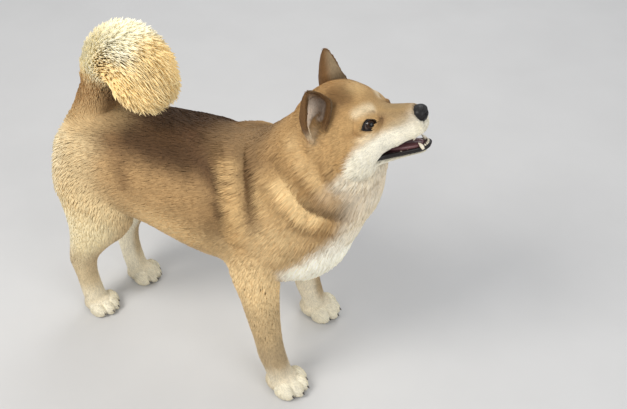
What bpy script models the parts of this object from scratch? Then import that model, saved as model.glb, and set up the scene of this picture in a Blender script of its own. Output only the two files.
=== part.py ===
"""A standing shiba inu, life size, as closed solids out to the tips of its coat.

Metres, +Z up. The dog faces +X and its left side is +Y. The floor is z = 0, and the origin lies on the
floor under the middle of the whole dog's bounding box. The body is lofted from a few stations each for
the trunk, neck, head, jaw, legs and tail, fused into one skin-tight form, and then parted with thin
cuts into head, neck, trunk, tail, legs and paws. Eyes, ears, nose, tongue and claws are fitted to it.
"""

import math

import bmesh
import bpy
from mathutils import Matrix, Vector, geometry

GAP = 0.0003  # between pieces that meet
FUSE_VOXEL = 0.003
BODY_TRIANGLES = 2700
HEAD_THINNING, PAW_THINNING = 0.98, 0.99  # how readily they are thinned, against the rest
RING_SIDES = 36

# The trunk from behind to front: x, level of its widest line, half width, rise above it, drop below it
TRUNK = (
    (-0.270, 0.292, 0.026, 0.028, 0.030),
    (-0.260, 0.292, 0.048, 0.048, 0.050),
    (-0.238, 0.292, 0.069, 0.070, 0.068),
    (-0.200, 0.294, 0.083, 0.087, 0.078),
    (-0.150, 0.296, 0.087, 0.090, 0.084),
    (-0.090, 0.298, 0.089, 0.092, 0.087),
    (-0.030, 0.297, 0.096, 0.093, 0.100),
    (0.030, 0.293, 0.101, 0.098, 0.108),
    (0.090, 0.290, 0.101, 0.103, 0.109),
    (0.140, 0.288, 0.098, 0.098, 0.112),
    (0.178, 0.284, 0.088, 0.088, 0.102),
    (0.207, 0.280, 0.068, 0.070, 0.080),
    (0.226, 0.278, 0.040, 0.044, 0.048),
    (0.234, 0.278, 0.018, 0.020, 0.022),
)

# The neck from the shoulders to the skull: x, y, z, half width, half depth
NECK = (
    (0.085, 0.000, 0.280, 0.088, 0.090),
    (0.130, 0.003, 0.312, 0.096, 0.108),
    (0.163, 0.008, 0.350, 0.094, 0.108),
    (0.183, 0.013, 0.386, 0.084, 0.092),
    (0.195, 0.017, 0.420, 0.070, 0.076),
    (0.204, 0.019, 0.448, 0.056, 0.062),
)

# The head in its own frame, from the nape to the nose: x, level of its widest line, half width,
# rise above it, drop below it, squareness above and below
HEAD_AT = Vector((0.219, 0.021, 0.443))
HEAD_YAW, HEAD_PITCH, HEAD_ROLL = math.radians(7.5), math.radians(23), 0.0
HEAD = (
    (-0.090, -0.016, 0.040, 0.042, 0.044, 2.0, 2.0),
    (-0.064, -0.022, 0.060, 0.072, 0.054, 1.9, 2.1),
    (-0.036, -0.027, 0.068, 0.091, 0.052, 1.8, 2.2),
    (-0.012, -0.030, 0.067, 0.098, 0.046, 1.8, 2.3),
    (0.006, -0.028, 0.060, 0.093, 0.042, 1.8, 2.3),
    (0.020, -0.022, 0.050, 0.078, 0.032, 1.8, 2.3),
    (0.032, -0.014, 0.040, 0.056, 0.029, 1.85, 2.5),
    (0.042, -0.011, 0.032, 0.0350, 0.028, 1.9, 2.8),
    (0.052, -0.011, 0.0275, 0.0280, 0.0260, 2.0, 3.0),
    (0.066, -0.012, 0.0240, 0.0255, 0.0230, 2.1, 3.0),
    (0.080, -0.012, 0.0210, 0.0225, 0.0200, 2.1, 3.0),
    (0.090, -0.012, 0.0180, 0.0190, 0.0160, 2.1, 2.8),
    (0.0955, -0.012, 0.0125, 0.0140, 0.0110, 2.1, 2.4),
)

# The lower jaw in the head's frame: x, level of its widest line, half width, depth below it. The mouth
# is cut between the two afterwards, along the edges of the upper and the lower lip (x and z).
JAW = (
    (-0.030, -0.035, 0.046, 0.034),
    (0.000, -0.036, 0.044, 0.032),
    (0.022, -0.036, 0.0345, 0.0290),
    (0.042, -0.037, 0.0260, 0.0275),
    (0.062, -0.038, 0.0205, 0.0265),
    (0.078, -0.039, 0.0170, 0.0255),
    (0.088, -0.040, 0.0130, 0.0205),
    (0.0925, -0.042, 0.0080, 0.0120),
)
MOUTH_CORNER = (0.021, -0.0395)
UPPER_LIP = ((0.035, -0.0345), (0.058, -0.0330), (0.077, -0.0290), (0.088, -0.0250), (0.110, -0.0200))
LOWER_LIP = ((0.110, -0.0480), (0.090, -0.0485), (0.075, -0.0480), (0.055, -0.0465), (0.035, -0.0430))
JAW_PARTING_SLOPE = 0.30

# The tongue on the mouth's floor: x, z, half width, half height. The teeth of one side: x, y, length
TONGUE = (
    (0.0235, -0.0400, 0.0080, 0.0020),
    (0.0300, -0.0405, 0.0125, 0.0036),
    (0.0480, -0.0435, 0.0135, 0.0046),
    (0.0640, -0.0455, 0.0125, 0.0046),
    (0.0740, -0.0465, 0.0100, 0.0038),
    (0.0800, -0.0470, 0.0055, 0.0024),
)
UPPER_TEETH = (
    (0.0885, 0.0020, 0.0042),
    (0.0875, 0.0056, 0.0042),
    (0.0850, 0.0092, 0.0050),
    (0.0765, 0.0135, 0.0112),
    (0.0665, 0.0160, 0.0040),
    (0.0580, 0.0182, 0.0050),
    (0.0485, 0.0210, 0.0066),
    (0.0390, 0.0245, 0.0045),
)
LOWER_TEETH = (
    (0.0875, 0.0018, 0.0036),
    (0.0868, 0.0050, 0.0036),
    (0.0850, 0.0080, 0.0040),
    (0.0810, 0.0112, 0.0105),
    (0.0705, 0.0138, 0.0032),
    (0.0620, 0.0158, 0.0042),
    (0.0530, 0.0182, 0.0050),
    (0.0440, 0.0208, 0.0040),
)

# The legs down to the ankle: x, y, z, half length, half width, for the right side
FORELEG = (
    (0.098, -0.058, 0.290, 0.050, 0.030),
    (0.100, -0.066, 0.250, 0.048, 0.032),
    (0.103, -0.073, 0.210, 0.040, 0.030),
    (0.110, -0.077, 0.170, 0.031, 0.0265),
    (0.117, -0.080, 0.130, 0.0255, 0.0230),
    (0.124, -0.082, 0.095, 0.0220, 0.0205),
    (0.130, -0.083, 0.065, 0.0215, 0.0205),
    (0.139, -0.084, 0.040, 0.0200, 0.0200),
    (0.146, -0.085, 0.018, 0.0180, 0.0190),
)
HINDLEG = (
    (-0.183, -0.048, 0.320, 0.072, 0.034),
    (-0.180, -0.055, 0.275, 0.074, 0.036),
    (-0.180, -0.058, 0.235, 0.067, 0.035),
    (-0.190, -0.058, 0.195, 0.053, 0.031),
    (-0.209, -0.056, 0.160, 0.038, 0.0255),
    (-0.226, -0.054, 0.130, 0.0285, 0.0210),
    (-0.236, -0.053, 0.105, 0.0240, 0.0185),
    (-0.236, -0.052, 0.075, 0.0190, 0.0170),
    (-0.233, -0.051, 0.045, 0.0185, 0.0175),
    (-0.228, -0.051, 0.018, 0.0185, 0.0180),
)
HIP_LEVEL, SHOULDER_LEVEL = 0.300, 0.270

# Each paw stands with the middle of its sole here, turned outwards by this angle
PAWS = {
    "forepaw_right": ((0.157, -0.085), math.radians(-4), 1.0),
    "forepaw_left": ((0.136, 0.092), math.radians(8), 1.0),
    "hindpaw_right": ((-0.214, -0.051), math.radians(-3), 0.90),
    "hindpaw_left": ((-0.191, 0.048), math.radians(4), 0.90),
}
TOE_LENGTH, TOE_WIDTH, TOE_HEIGHT = 0.0175, 0.0115, 0.0150
CLAW_LENGTH, CLAW_RADIUS = 0.0110, 0.0034

# The tail's middle line from its root over the curl to its tip, and the coat's half width round it
TAIL = (
    (-0.196, 0.000, 0.350, 0.034),
    (-0.184, 0.000, 0.392, 0.035),
    (-0.171, -0.002, 0.430, 0.040),
    (-0.153, -0.006, 0.469, 0.046),
    (-0.128, -0.012, 0.490, 0.048),
    (-0.100, -0.018, 0.482, 0.046),
    (-0.073, -0.023, 0.461, 0.040),
    (-0.051, -0.027, 0.446, 0.028),
    (-0.042, -0.029, 0.441, 0.018),
)

EYE_RADIUS = 0.0105
EYE_AT = Vector((0.0278, 0.0270, 0.0092))  # in the head's frame, for the left eye
EYE_LOOKS = Vector((0.62, 0.76, 0.20))
NOSE_AT, NOSE_SIZES = Vector((0.0905, 0.0, -0.0035)), (0.0110, 0.0135, 0.0115)
NOSTRIL_AT, NOSTRIL_SIZES = Vector((0.1005, 0.0062, -0.0035)), (0.0030, 0.0026, 0.0022)

# The left ear in the head's frame, from its root inside the skull to its tip: where its front edge, the
# inner and the hinder turn of its back, and its outer edge run
EAR = (
    ((-0.031, 0.050, 0.006), (-0.039, 0.038, 0.006), (-0.045, 0.044, 0.006), (-0.040, 0.055, 0.004)),
    ((-0.023, 0.054, 0.024), (-0.033, 0.038, 0.026), (-0.047, 0.044, 0.026), (-0.041, 0.062, 0.024)),
    ((-0.012, 0.050, 0.043), (-0.030, 0.035, 0.046), (-0.047, 0.045, 0.043), (-0.040, 0.064, 0.043)),
    ((-0.008, 0.043, 0.060), (-0.028, 0.035, 0.060), (-0.044, 0.048, 0.058), (-0.038, 0.064, 0.058)),
    ((-0.012, 0.047, 0.073), (-0.027, 0.043, 0.075), (-0.039, 0.053, 0.072), (-0.035, 0.064, 0.070)),
    ((-0.019, 0.054, 0.084), (-0.027, 0.052, 0.085), (-0.034, 0.057, 0.083), (-0.031, 0.063, 0.081)),
    ((-0.025, 0.059, 0.0915), (-0.0275, 0.0590, 0.0915), (-0.0295, 0.060, 0.091), (-0.0285, 0.0615, 0.0905)),
)
# The left ear is pricked to the front. The right one is turned to its side, lowered and leant forward.
EAR_TWISTS = {1: math.radians(-8), -1: math.radians(12)}
EAR_LEANS = {1: math.radians(-2), -1: math.radians(7)}
EAR_STRETCHES = {1: 1.0, -1: 0.94}
EAR_AXIS = Vector((-0.028, 0.050, 0.025))
EAR_THICKNESS = 0.0055

# Thin cuts through the fused body: middle, the way across the cut, half sizes along it
HEAD_CUT = (Vector((-0.0175, 0.0, -0.0075)), Vector((0.818, 0.0, 0.575)))
CUTS = (
    ((0.130, 0.004, 0.330), (0.62, 0.05, 0.78), 0.150, 0.150),
    ((-0.187, 0.000, 0.392), (-0.15, 0.00, 0.99), 0.055, 0.055),
    ((-0.162, -0.004, 0.452), (0.45, -0.08, 0.89), 0.062, 0.062),
    ((-0.114, -0.014, 0.486), (0.98, -0.15, -0.05), 0.062, 0.062),
    ((0.106, -0.077, 0.196), (0.00, 0.47, 0.88), 0.055, 0.040),
    ((0.100, 0.083, 0.196), (0.00, -0.47, 0.88), 0.055, 0.040),
    ((-0.190, -0.058, 0.205), (0.00, 0.42, 0.91), 0.085, 0.040),
    ((-0.182, 0.056, 0.205), (0.00, -0.42, 0.91), 0.085, 0.040),
    ((0.139, -0.084, 0.046), (0.15, 0.00, 0.99), 0.035, 0.035),
    ((0.119, 0.090, 0.046), (0.15, 0.00, 0.99), 0.035, 0.035),
    ((-0.230, -0.051, 0.046), (0.05, 0.00, 1.00), 0.035, 0.035),
    ((-0.208, 0.048, 0.046), (0.05, 0.00, 1.00), 0.035, 0.035),
)

# Each piece of the body is named by the marker that lies nearest to its middle
MARKERS = {
    "head": (0.225, 0.022, 0.450),
    "lower_jaw": (0.270, 0.026, 0.415),
    "neck": (0.170, 0.010, 0.345),
    "trunk": (0.000, 0.000, 0.290),
    "tail_base": (-0.177, 0.000, 0.420),
    "tail_middle": (-0.140, -0.009, 0.480),
    "tail_tip": (-0.078, -0.020, 0.470),
    "foreleg_right": (0.122, -0.081, 0.110),
    "foreleg_left": (0.105, 0.086, 0.110),
    "forepaw_right": (0.157, -0.085, 0.015),
    "forepaw_left": (0.136, 0.092, 0.015),
    "hindleg_right": (-0.215, -0.055, 0.130),
    "hindleg_left": (-0.195, 0.050, 0.130),
    "hindpaw_right": (-0.214, -0.051, 0.015),
    "hindpaw_left": (-0.191, 0.048, 0.015),
}

COLOURS = {
    "head": (0.50, 0.27, 0.10),
    "neck": (0.50, 0.27, 0.10),
    "trunk": (0.48, 0.25, 0.09),
    "ear": (0.36, 0.18, 0.07),
    "tail": (0.62, 0.45, 0.25),
    "foreleg": (0.55, 0.33, 0.15),
    "hindleg": (0.58, 0.38, 0.20),
    "forepaw": (0.62, 0.52, 0.42),
    "hindpaw": (0.62, 0.52, 0.42),
    "lower": (0.70, 0.62, 0.52),
    "eye": (0.03, 0.014, 0.008),
    "nose": (0.012, 0.011, 0.012),
    "tongue": (0.30, 0.10, 0.12),
    "claw": (0.03, 0.026, 0.024),
}
ROUGHNESS = {"eye": 0.08, "nose": 0.35, "tongue": 0.40, "claw": 0.35}


def head_frame():
    """The head's own frame: +X to the nose, +Y to its left."""
    turn = (
        Matrix.Rotation(HEAD_YAW, 4, "Z")
        @ Matrix.Rotation(-HEAD_PITCH, 4, "Y")
        @ Matrix.Rotation(HEAD_ROLL, 4, "X")
    )
    return Matrix.Translation(HEAD_AT) @ turn


def eased(rows, steps=4):
    """The rows with more rows between them, on a smooth curve through each column."""
    found = []
    last = len(rows) - 1
    for i in range(last):
        around = rows[max(i - 1, 0)], rows[i], rows[i + 1], rows[min(i + 2, last)]
        for k in range(steps):
            t = k / steps
            found.append(
                [
                    b + 0.5 * t * (c - a + t * (2 * a - 5 * b + 4 * c - d + t * (3 * b - a - 3 * c + d)))
                    for a, b, c, d in zip(*around)
                ]
            )
    return found + [list(rows[last])]


def oval(centre, across, up, half_width, rise, drop, above=2.0, below=2.0, sides=RING_SIDES):
    """One ring of points. Its upper and lower halves each have their own height and squareness."""
    points = []
    for i in range(sides):
        turn = 2 * math.pi * i / sides
        side, height = math.cos(turn), math.sin(turn)
        squareness = above if height > 0 else below
        side = math.copysign(abs(side) ** (2 / squareness), side)
        height = math.copysign(abs(height) ** (2 / squareness), height)
        points.append(centre + across * half_width * side + up * (rise if height > 0 else drop) * height)
    return points


def loft(rings):
    """A closed mesh through the rings, capped at both ends."""
    made = bmesh.new()
    loops = [[made.verts.new(point) for point in ring] for ring in rings]
    for low, high in zip(loops, loops[1:]):
        for i in range(len(low)):
            made.faces.new((low[i - 1], low[i], high[i], high[i - 1]))
    made.faces.new(loops[0])
    made.faces.new(loops[-1])
    bmesh.ops.recalc_face_normals(made, faces=made.faces)
    return made


def ball(centre, half_sizes, turn=None, round_cuts=3):
    """A closed ellipsoid."""
    made = bmesh.new()
    size = Matrix.Diagonal((*half_sizes, 1))
    place = Matrix.Translation(centre) @ (turn or Matrix.Identity(4)) @ size
    bmesh.ops.create_icosphere(made, subdivisions=round_cuts, radius=1, matrix=place)
    return made


def trunk_shape():
    return loft(
        oval(Vector((x, 0, level)), Vector((0, 1, 0)), Vector((0, 0, 1)), width, rise, drop, 2.15, 2.15)
        for x, level, width, rise, drop in eased(TRUNK)
    )


def along(points):
    """A frame at each point of a path: the point, the way across it and the way up from it."""
    frames = []
    for i, point in enumerate(points):
        ahead = points[min(i + 1, len(points) - 1)] - points[max(i - 1, 0)]
        across = Vector((0, 0, 1)).cross(ahead) if abs(ahead.x) + abs(ahead.y) > 1e-6 else Vector((0, 1, 0))
        if frames and across.dot(frames[-1][1]) < 0:
            across.negate()
        across.normalize()
        frames.append((point, across, ahead.normalized().cross(across)))
    return frames


def neck_shape():
    rows = eased(NECK)
    frames = along([Vector(row[:3]) for row in rows])
    return loft(
        oval(point, across, up, row[3], row[4], row[4])
        for (point, across, up), row in zip(frames, rows)
    )


def head_shape():
    return loft(
        oval(Vector((x, 0, level)), Vector((0, 1, 0)), Vector((0, 0, 1)), width, rise, drop, above, below)
        for x, level, width, rise, drop, above, below in eased(HEAD)
    )


def jaw_shape():
    return loft(
        oval(Vector((x, 0, level)), Vector((0, 1, 0)), Vector((0, 0, 1)), width, 0.010, depth, 2.4, 2.4)
        for x, level, width, depth in eased(JAW)
    )


def leg_shape(rows, paw, side, top):
    """A leg on one side. The other side's rows are mirrored and lean to where its own paw stands."""
    foot_x, foot_y = paw
    plain_x, plain_y = rows[-1][0], rows[-1][1] * -side
    rings = []
    for x, y, z, half_length, half_width in eased(rows):
        lean = min(max((top - z) / top, 0), 1)
        shift_x = (foot_x - TOE_LENGTH * 0.55 - plain_x) * lean
        shift_y = (foot_y - plain_y) * lean
        centre = Vector((x + shift_x, y * -side + shift_y, z))
        rings.append(oval(centre, Vector((0, 1, 0)), Vector((1, 0, 0)), half_width, half_length, half_length))
    return loft(rings)


def toe_places(paw):
    """Where each toe's middle is, with the way that it points."""
    (x, y), turn, size = paw
    ahead = Vector((math.cos(turn), math.sin(turn), 0))
    left = Vector((-math.sin(turn), math.cos(turn), 0))
    places = []
    for across, forward, splay in ((-1.65, 0.35, -9), (-0.58, 1.0, -3), (0.58, 1.0, 3), (1.65, 0.35, 9)):
        at = Vector((x, y, 0)) + left * across * TOE_WIDTH * size * 0.98
        at += ahead * (forward * 0.0155 - 0.001) * size
        at.z = TOE_HEIGHT * size * 0.80
        places.append((at, turn + math.radians(splay)))
    return places


def paw_shapes(paw):
    """The rounded hand behind the toes, and four arched toes."""
    (x, y), turn, size = paw
    spin = Matrix.Rotation(turn, 4, "Z")
    back = Vector((x, y, 0)) - spin @ Vector((0.008 * size, 0, 0))
    back.z = 0.016 * size
    shapes = [ball(back, (0.0265 * size, 0.0235 * size, 0.0200 * size), spin)]
    for at, heading in toe_places(paw):
        toe_turn = Matrix.Rotation(heading, 4, "Z") @ Matrix.Rotation(math.radians(14), 4, "Y")
        sizes = (TOE_LENGTH * size, TOE_WIDTH * size, TOE_HEIGHT * size)
        shapes.append(ball(at, sizes, toe_turn))
    return shapes


def tail_shape():
    rows = eased(TAIL, 5)
    frames = along([Vector(row[:3]) for row in rows])
    rings = [
        oval(point, across, up, row[3] * 0.92, row[3], row[3])
        for (point, across, up), row in zip(frames, rows)
    ]
    return loft(rings)


def object_of(made, name):
    mesh = bpy.data.meshes.new(name)
    made.to_mesh(mesh)
    made.free()
    thing = bpy.data.objects.new(name, mesh)
    bpy.context.scene.collection.objects.link(thing)
    return thing


def settle(thing):
    """Applies the modifiers."""
    bpy.context.view_layer.update()
    graph = bpy.context.evaluated_depsgraph_get()
    mesh = bpy.data.meshes.new_from_object(thing.evaluated_get(graph))
    thing.modifiers.clear()
    old, thing.data = thing.data, mesh
    bpy.data.meshes.remove(old)


def joined(shapes):
    """Several closed meshes in one, still overlapping."""
    whole = bmesh.new()
    for shape in shapes:
        mesh = bpy.data.meshes.new("shape")
        shape.to_mesh(mesh)
        shape.free()
        whole.from_mesh(mesh)
        bpy.data.meshes.remove(mesh)
    return whole


def fused_body():
    """All the flesh in one closed mesh, its joins softened and its soles cut flat at the floor."""
    frame = head_frame()
    head_parts = [head_shape(), jaw_shape()]
    for shape in head_parts:
        bmesh.ops.transform(shape, matrix=frame, verts=shape.verts)
    shapes = [trunk_shape(), neck_shape(), tail_shape(), *head_parts]
    for name, paw in PAWS.items():
        side = 1 if name.endswith("left") else -1
        fore = name.startswith("fore")
        rows, top = (FORELEG, SHOULDER_LEVEL) if fore else (HINDLEG, HIP_LEVEL)
        shapes.append(leg_shape(rows, paw[0], side, top))
        shapes += paw_shapes(paw)
    body = object_of(joined(shapes), "body")
    remesh = body.modifiers.new("fuse", "REMESH")
    remesh.mode = "VOXEL"
    remesh.voxel_size = FUSE_VOXEL
    soften = body.modifiers.new("soften", "SMOOTH")
    soften.factor = 0.5
    soften.iterations = 6
    settle(body)
    plain = body.vertex_groups.new(name="plain")
    to_head = head_frame().inverted()
    for vertex in body.data.vertices:
        place = to_head @ vertex.co
        in_head = place.x > -0.03 and place.z > -0.065 and vertex.co.z > 0.36
        ease = HEAD_THINNING if in_head else PAW_THINNING if vertex.co.z < 0.05 else 1.0
        plain.add([vertex.index], ease, "REPLACE")
    fewer = body.modifiers.new("fewer", "DECIMATE")
    fewer.ratio = BODY_TRIANGLES / sum(len(face.vertices) - 2 for face in body.data.polygons)
    fewer.vertex_group = "plain"
    fewer.vertex_group_factor = 1.0
    settle(body)
    return body


def plate(middle, normal, half_x, half_y):
    """A thin flat cutter across the given way."""
    made = bmesh.new()
    turn = Vector(normal).to_track_quat("Z", "Y").to_matrix().to_4x4()
    size = Matrix.Diagonal((2 * half_x, 2 * half_y, GAP, 1))
    bmesh.ops.create_cube(made, size=1, matrix=Matrix.Translation(middle) @ turn @ size)
    return made


def slab(profile, half_width):
    """A flat closed outline in the XZ plane, given thickness along Y."""
    made = bmesh.new()
    sides = [
        [made.verts.new((x, y, z)) for x, z in profile]
        for y in (-half_width, half_width)
    ]
    for i in range(len(profile)):
        made.faces.new((sides[0][i - 1], sides[0][i], sides[1][i], sides[1][i - 1]))
    for side in sides:
        made.faces.new(side)
    bmesh.ops.recalc_face_normals(made, faces=made.faces)
    return made


def combine(target, tool, operation="DIFFERENCE"):
    """One exact Boolean, after which its tool is gone."""
    step = target.modifiers.new("combine", "BOOLEAN")
    step.operation = operation
    step.solver = "EXACT"
    step.object = tool
    settle(target)
    bpy.data.objects.remove(tool)


def grown(thing, name):
    """A copy with the gap's clearance all round it."""
    made = bmesh.new()
    made.from_mesh(thing.data)
    made.normal_update()
    moves = [(vertex, vertex.normal * GAP) for vertex in made.verts]
    for vertex, move in moves:
        vertex.co += move
    return object_of(made, name)


def loose_pieces(thing):
    """The separate closed meshes in one object, as new objects."""
    whole = bmesh.new()
    whole.from_mesh(thing.data)
    left = set(whole.verts)
    pieces = []
    while left:
        found, edge = set(), [left.pop()]
        while edge:
            vertex = edge.pop()
            found.add(vertex)
            for link in vertex.link_edges:
                other = link.other_vert(vertex)
                if other in left:
                    left.discard(other)
                    edge.append(other)
        order = sorted(found, key=lambda vertex: vertex.index)
        piece = bmesh.new()
        new = {vertex: piece.verts.new(vertex.co) for vertex in order}
        for face in whole.faces:
            if face.verts[0] in found:
                piece.faces.new([new[vertex] for vertex in face.verts])
        pieces.append(piece)
    whole.free()
    bpy.data.objects.remove(thing)
    return pieces


def middle_of(piece):
    """The middle of a mesh's surface."""
    areas = [face.calc_area() for face in piece.faces]
    middles = [face.calc_center_median() for face in piece.faces]
    return sum((middle * area for middle, area in zip(middles, areas)), Vector()) / sum(areas)


def parted_body(body, frame):
    """Cuts the mouth, the soles and the thin partings, and names the pieces."""
    mouth = [MOUTH_CORNER, *UPPER_LIP, *LOWER_LIP]
    mouth_cut = slab(mouth, 0.07)
    corner = Vector((MOUTH_CORNER[0], 0, MOUTH_CORNER[1]))
    behind = geometry.intersect_line_plane(corner, corner - Vector((1, 0, JAW_PARTING_SLOPE)), *HEAD_CUT)
    ends = (corner.x + 0.002, corner.z + 0.002 * JAW_PARTING_SLOPE), (behind.x, behind.z)
    jaw_cut = slab([*ends, *[(x, z - GAP) for x, z in reversed(ends)]], 0.09)
    head_cut = plate(*HEAD_CUT, 0.12, 0.12)
    for cut in (mouth_cut, jaw_cut, head_cut):
        bmesh.ops.transform(cut, matrix=frame, verts=cut.verts)
    floor = bmesh.new()
    size = Matrix.Diagonal((1.2, 0.6, 0.04, 1))
    bmesh.ops.create_cube(floor, size=1, matrix=Matrix.Translation((0, 0, -0.02)) @ size)
    combine(body, object_of(mouth_cut, "mouth_cut"))
    combine(body, object_of(jaw_cut, "jaw_cut"))
    combine(body, object_of(joined([head_cut, floor, *[plate(*cut) for cut in CUTS]]), "cuts"))
    parts = {}
    for piece in loose_pieces(body):
        if len(piece.verts) < 20:
            piece.free()
            continue
        middle = middle_of(piece)
        name = min(MARKERS, key=lambda name: (Vector(MARKERS[name]) - middle).length)
        parts[name] = object_of(piece, name)
    return parts


def mirrored(points, side):
    return [Vector((x, y * side, z)) for x, y, z in points]


def ear_shape(side):
    """A cupped leaf. Each ring runs round the back of the ear and returns along its hollow."""
    rows = [[value for point in row for value in point] for row in EAR]
    rings = []
    for number, row in enumerate(rows):
        turns = mirrored([row[i : i + 3] for i in (0, 3, 6, 9)], side)
        back = [Vector(point) for point in eased([list(point) for point in turns], 3)]
        middle = back[len(back) // 2]
        lengthwise = (back[-1] - back[0]).cross(middle - back[0]).normalized()
        thickness = EAR_THICKNESS * (1 - 0.6 * number / (len(rows) - 1))
        inner = []
        for i in range(1, len(back) - 1):
            inwards = lengthwise.cross(back[i + 1] - back[i - 1]).normalized()
            ease = min(1.0, 3.0 * min(i, len(back) - 1 - i) / (len(back) - 1))
            inner.append(back[i] + inwards * thickness * ease)
        rings.append(back + inner[::-1])
    made = loft(rings)
    axis = Vector((EAR_AXIS.x, EAR_AXIS.y * side, EAR_AXIS.z))
    for vertex in made.verts:
        reach = vertex.co - axis
        free = min(max(reach.z / 0.035, 0), 1)
        reach.z *= 1 + (EAR_STRETCHES[side] - 1) * free
        twist = Matrix.Rotation(EAR_TWISTS[side] * free, 3, "Z")
        vertex.co = axis + Matrix.Rotation(EAR_LEANS[side] * free, 3, "Y") @ twist @ reach
    return made


def tooth(x, y, root, length, grows, radius):
    """A small leaning cone rooted in the jaw."""
    made = bmesh.new()
    sink = 0.0025
    middle = Vector((x, y, root + grows * (length - sink) / 2))
    lean = Matrix.Rotation(math.radians(8) * -grows, 4, "Y")
    flip = Matrix.Rotation(0 if grows > 0 else math.pi, 4, "X")
    bmesh.ops.create_cone(
        made,
        cap_ends=True,
        segments=6,
        radius1=radius,
        radius2=0,
        depth=length + sink,
        matrix=Matrix.Translation(middle) @ lean @ flip,
    )
    return made


def lip_level(lip, x):
    """How high the edge of a lip is at this distance forward."""
    points = sorted([MOUTH_CORNER, *lip])
    for (x0, z0), (x1, z1) in zip(points, points[1:]):
        if x0 <= x <= x1:
            return z0 + (z1 - z0) * (x - x0) / (x1 - x0)
    return points[-1][1]


def teeth(rows, lip, grows):
    """Both sides of one jaw's teeth."""
    made = []
    for x, y, length in rows:
        radius = 0.0027 if length > 0.01 else 0.0017 if length < 0.0043 else 0.0023
        for side in (-1, 1):
            made.append(tooth(x, y * side, lip_level(lip, x), length, grows, radius))
    return made


def tongue_shape():
    return loft(
        oval(Vector((x, 0, z)), Vector((0, 1, 0)), Vector((0, 0, 1)), width, height, height, 2.4, 2.4, 14)
        for x, z, width, height in eased(TONGUE, 1)
    )


def claw_shape(at, heading, size):
    """A short curved cone from within the toe, turned down but clear of the floor."""
    ahead = Vector((math.cos(heading), math.sin(heading), 0))
    root = at + ahead * TOE_LENGTH * size * 0.62 + Vector((0, 0, 0.0015 * size))
    points, radii = [], []
    for step in range(4):
        t = step / 3
        points.append(root + ahead * CLAW_LENGTH * size * t + Vector((0, 0, -0.0062 * size * t * t)))
        radii.append(CLAW_RADIUS * size * (1 - 0.8 * t) * (0.85 if step == 0 else 1))
    rings = []
    for (point, across, up), radius in zip(along(points), radii):
        turns = [math.pi * i / 3 for i in range(6)]
        rings.append([point + (across * 0.8 * math.cos(t) + up * math.sin(t)) * radius for t in turns])
    return loft(rings)


def placed(shape, frame, name):
    """The shape as an object, moved from the head's frame to the dog's."""
    bmesh.ops.transform(shape, matrix=frame, verts=shape.verts)
    return object_of(shape, name)


def fit_face(parts, frame):
    """Ears on the skull, eyes and nose in sockets, tongue and teeth in the mouth."""
    head, jaw = parts["head"], parts["lower_jaw"]
    for side, hand in ((1, "left"), (-1, "right")):
        ear = placed(ear_shape(side), frame, "ear_" + hand)
        combine(ear, grown(parts["neck"], "room"))
        combine(ear, grown(head, "room"))
        parts["ear_" + hand] = ear
    for side, hand in ((1, "left"), (-1, "right")):
        at, looks = mirrored([EYE_AT, EYE_LOOKS.normalized()], side)
        orbit = ball(at + looks * 0.0135, (0.0090, 0.0100, 0.0072), round_cuts=2)
        combine(head, placed(orbit, frame, "orbit"))
        eye = placed(ball(at, [EYE_RADIUS] * 3), frame, "eye_" + hand)
        combine(head, grown(eye, "socket"))
        parts["eye_" + hand] = eye
    nose = placed(ball(NOSE_AT, NOSE_SIZES), frame, "nose")
    nostrils = [ball(*mirrored([NOSTRIL_AT], side), NOSTRIL_SIZES, round_cuts=1) for side in (1, -1)]
    combine(nose, placed(joined(nostrils), frame, "nostrils"))
    combine(head, grown(nose, "socket"))
    parts["nose"] = nose
    tongue = placed(tongue_shape(), frame, "tongue")
    combine(head, grown(tongue, "room"))
    combine(jaw, grown(tongue, "room"))
    parts["tongue"] = tongue
    combine(head, placed(joined(teeth(UPPER_TEETH, UPPER_LIP, -1)), frame, "teeth"), "UNION")
    combine(jaw, placed(joined(teeth(LOWER_TEETH, LOWER_LIP, 1)), frame, "teeth"), "UNION")


def fit_claws(parts):
    for name, paw in PAWS.items():
        for number, (at, heading) in enumerate(toe_places(paw), 1):
            claw = object_of(claw_shape(at, heading, paw[2]), f"claw_{name}_{number}")
            combine(parts[name], grown(claw, "socket"))
            parts[claw.name] = claw


def finish(parts):
    """Whole clean meshes, a material each, and the origin under the middle of the bounding box."""
    for name, thing in parts.items():
        clean = bmesh.new()
        clean.from_mesh(thing.data)
        bmesh.ops.remove_doubles(clean, verts=clean.verts, dist=0.000001)
        bmesh.ops.recalc_face_normals(clean, faces=clean.faces)
        clean.to_mesh(thing.data)
        clean.free()
        kind = name.split("_")[0]
        paint = bpy.data.materials.new(name)
        paint.use_nodes = True
        shader = paint.node_tree.nodes["Principled BSDF"]
        shader.inputs["Base Color"].default_value = (*COLOURS[kind], 1)
        shader.inputs["Roughness"].default_value = ROUGHNESS.get(kind, 0.85)
        thing.data.materials.clear()
        thing.data.materials.append(paint)
    points = [vertex.co for thing in parts.values() for vertex in thing.data.vertices]
    low = [min(point[i] for point in points) for i in range(3)]
    high = [max(point[i] for point in points) for i in range(3)]
    shift = Matrix.Translation((-(low[0] + high[0]) / 2, -(low[1] + high[1]) / 2, -low[2]))
    for thing in parts.values():
        thing.data.transform(shift)
    return shift.translation


def main():
    for thing in list(bpy.data.objects):
        bpy.data.objects.remove(thing)
    frame = head_frame()
    parts = parted_body(fused_body(), frame)
    fit_face(parts, frame)
    fit_claws(parts)
    return finish(parts)


main()
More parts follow.
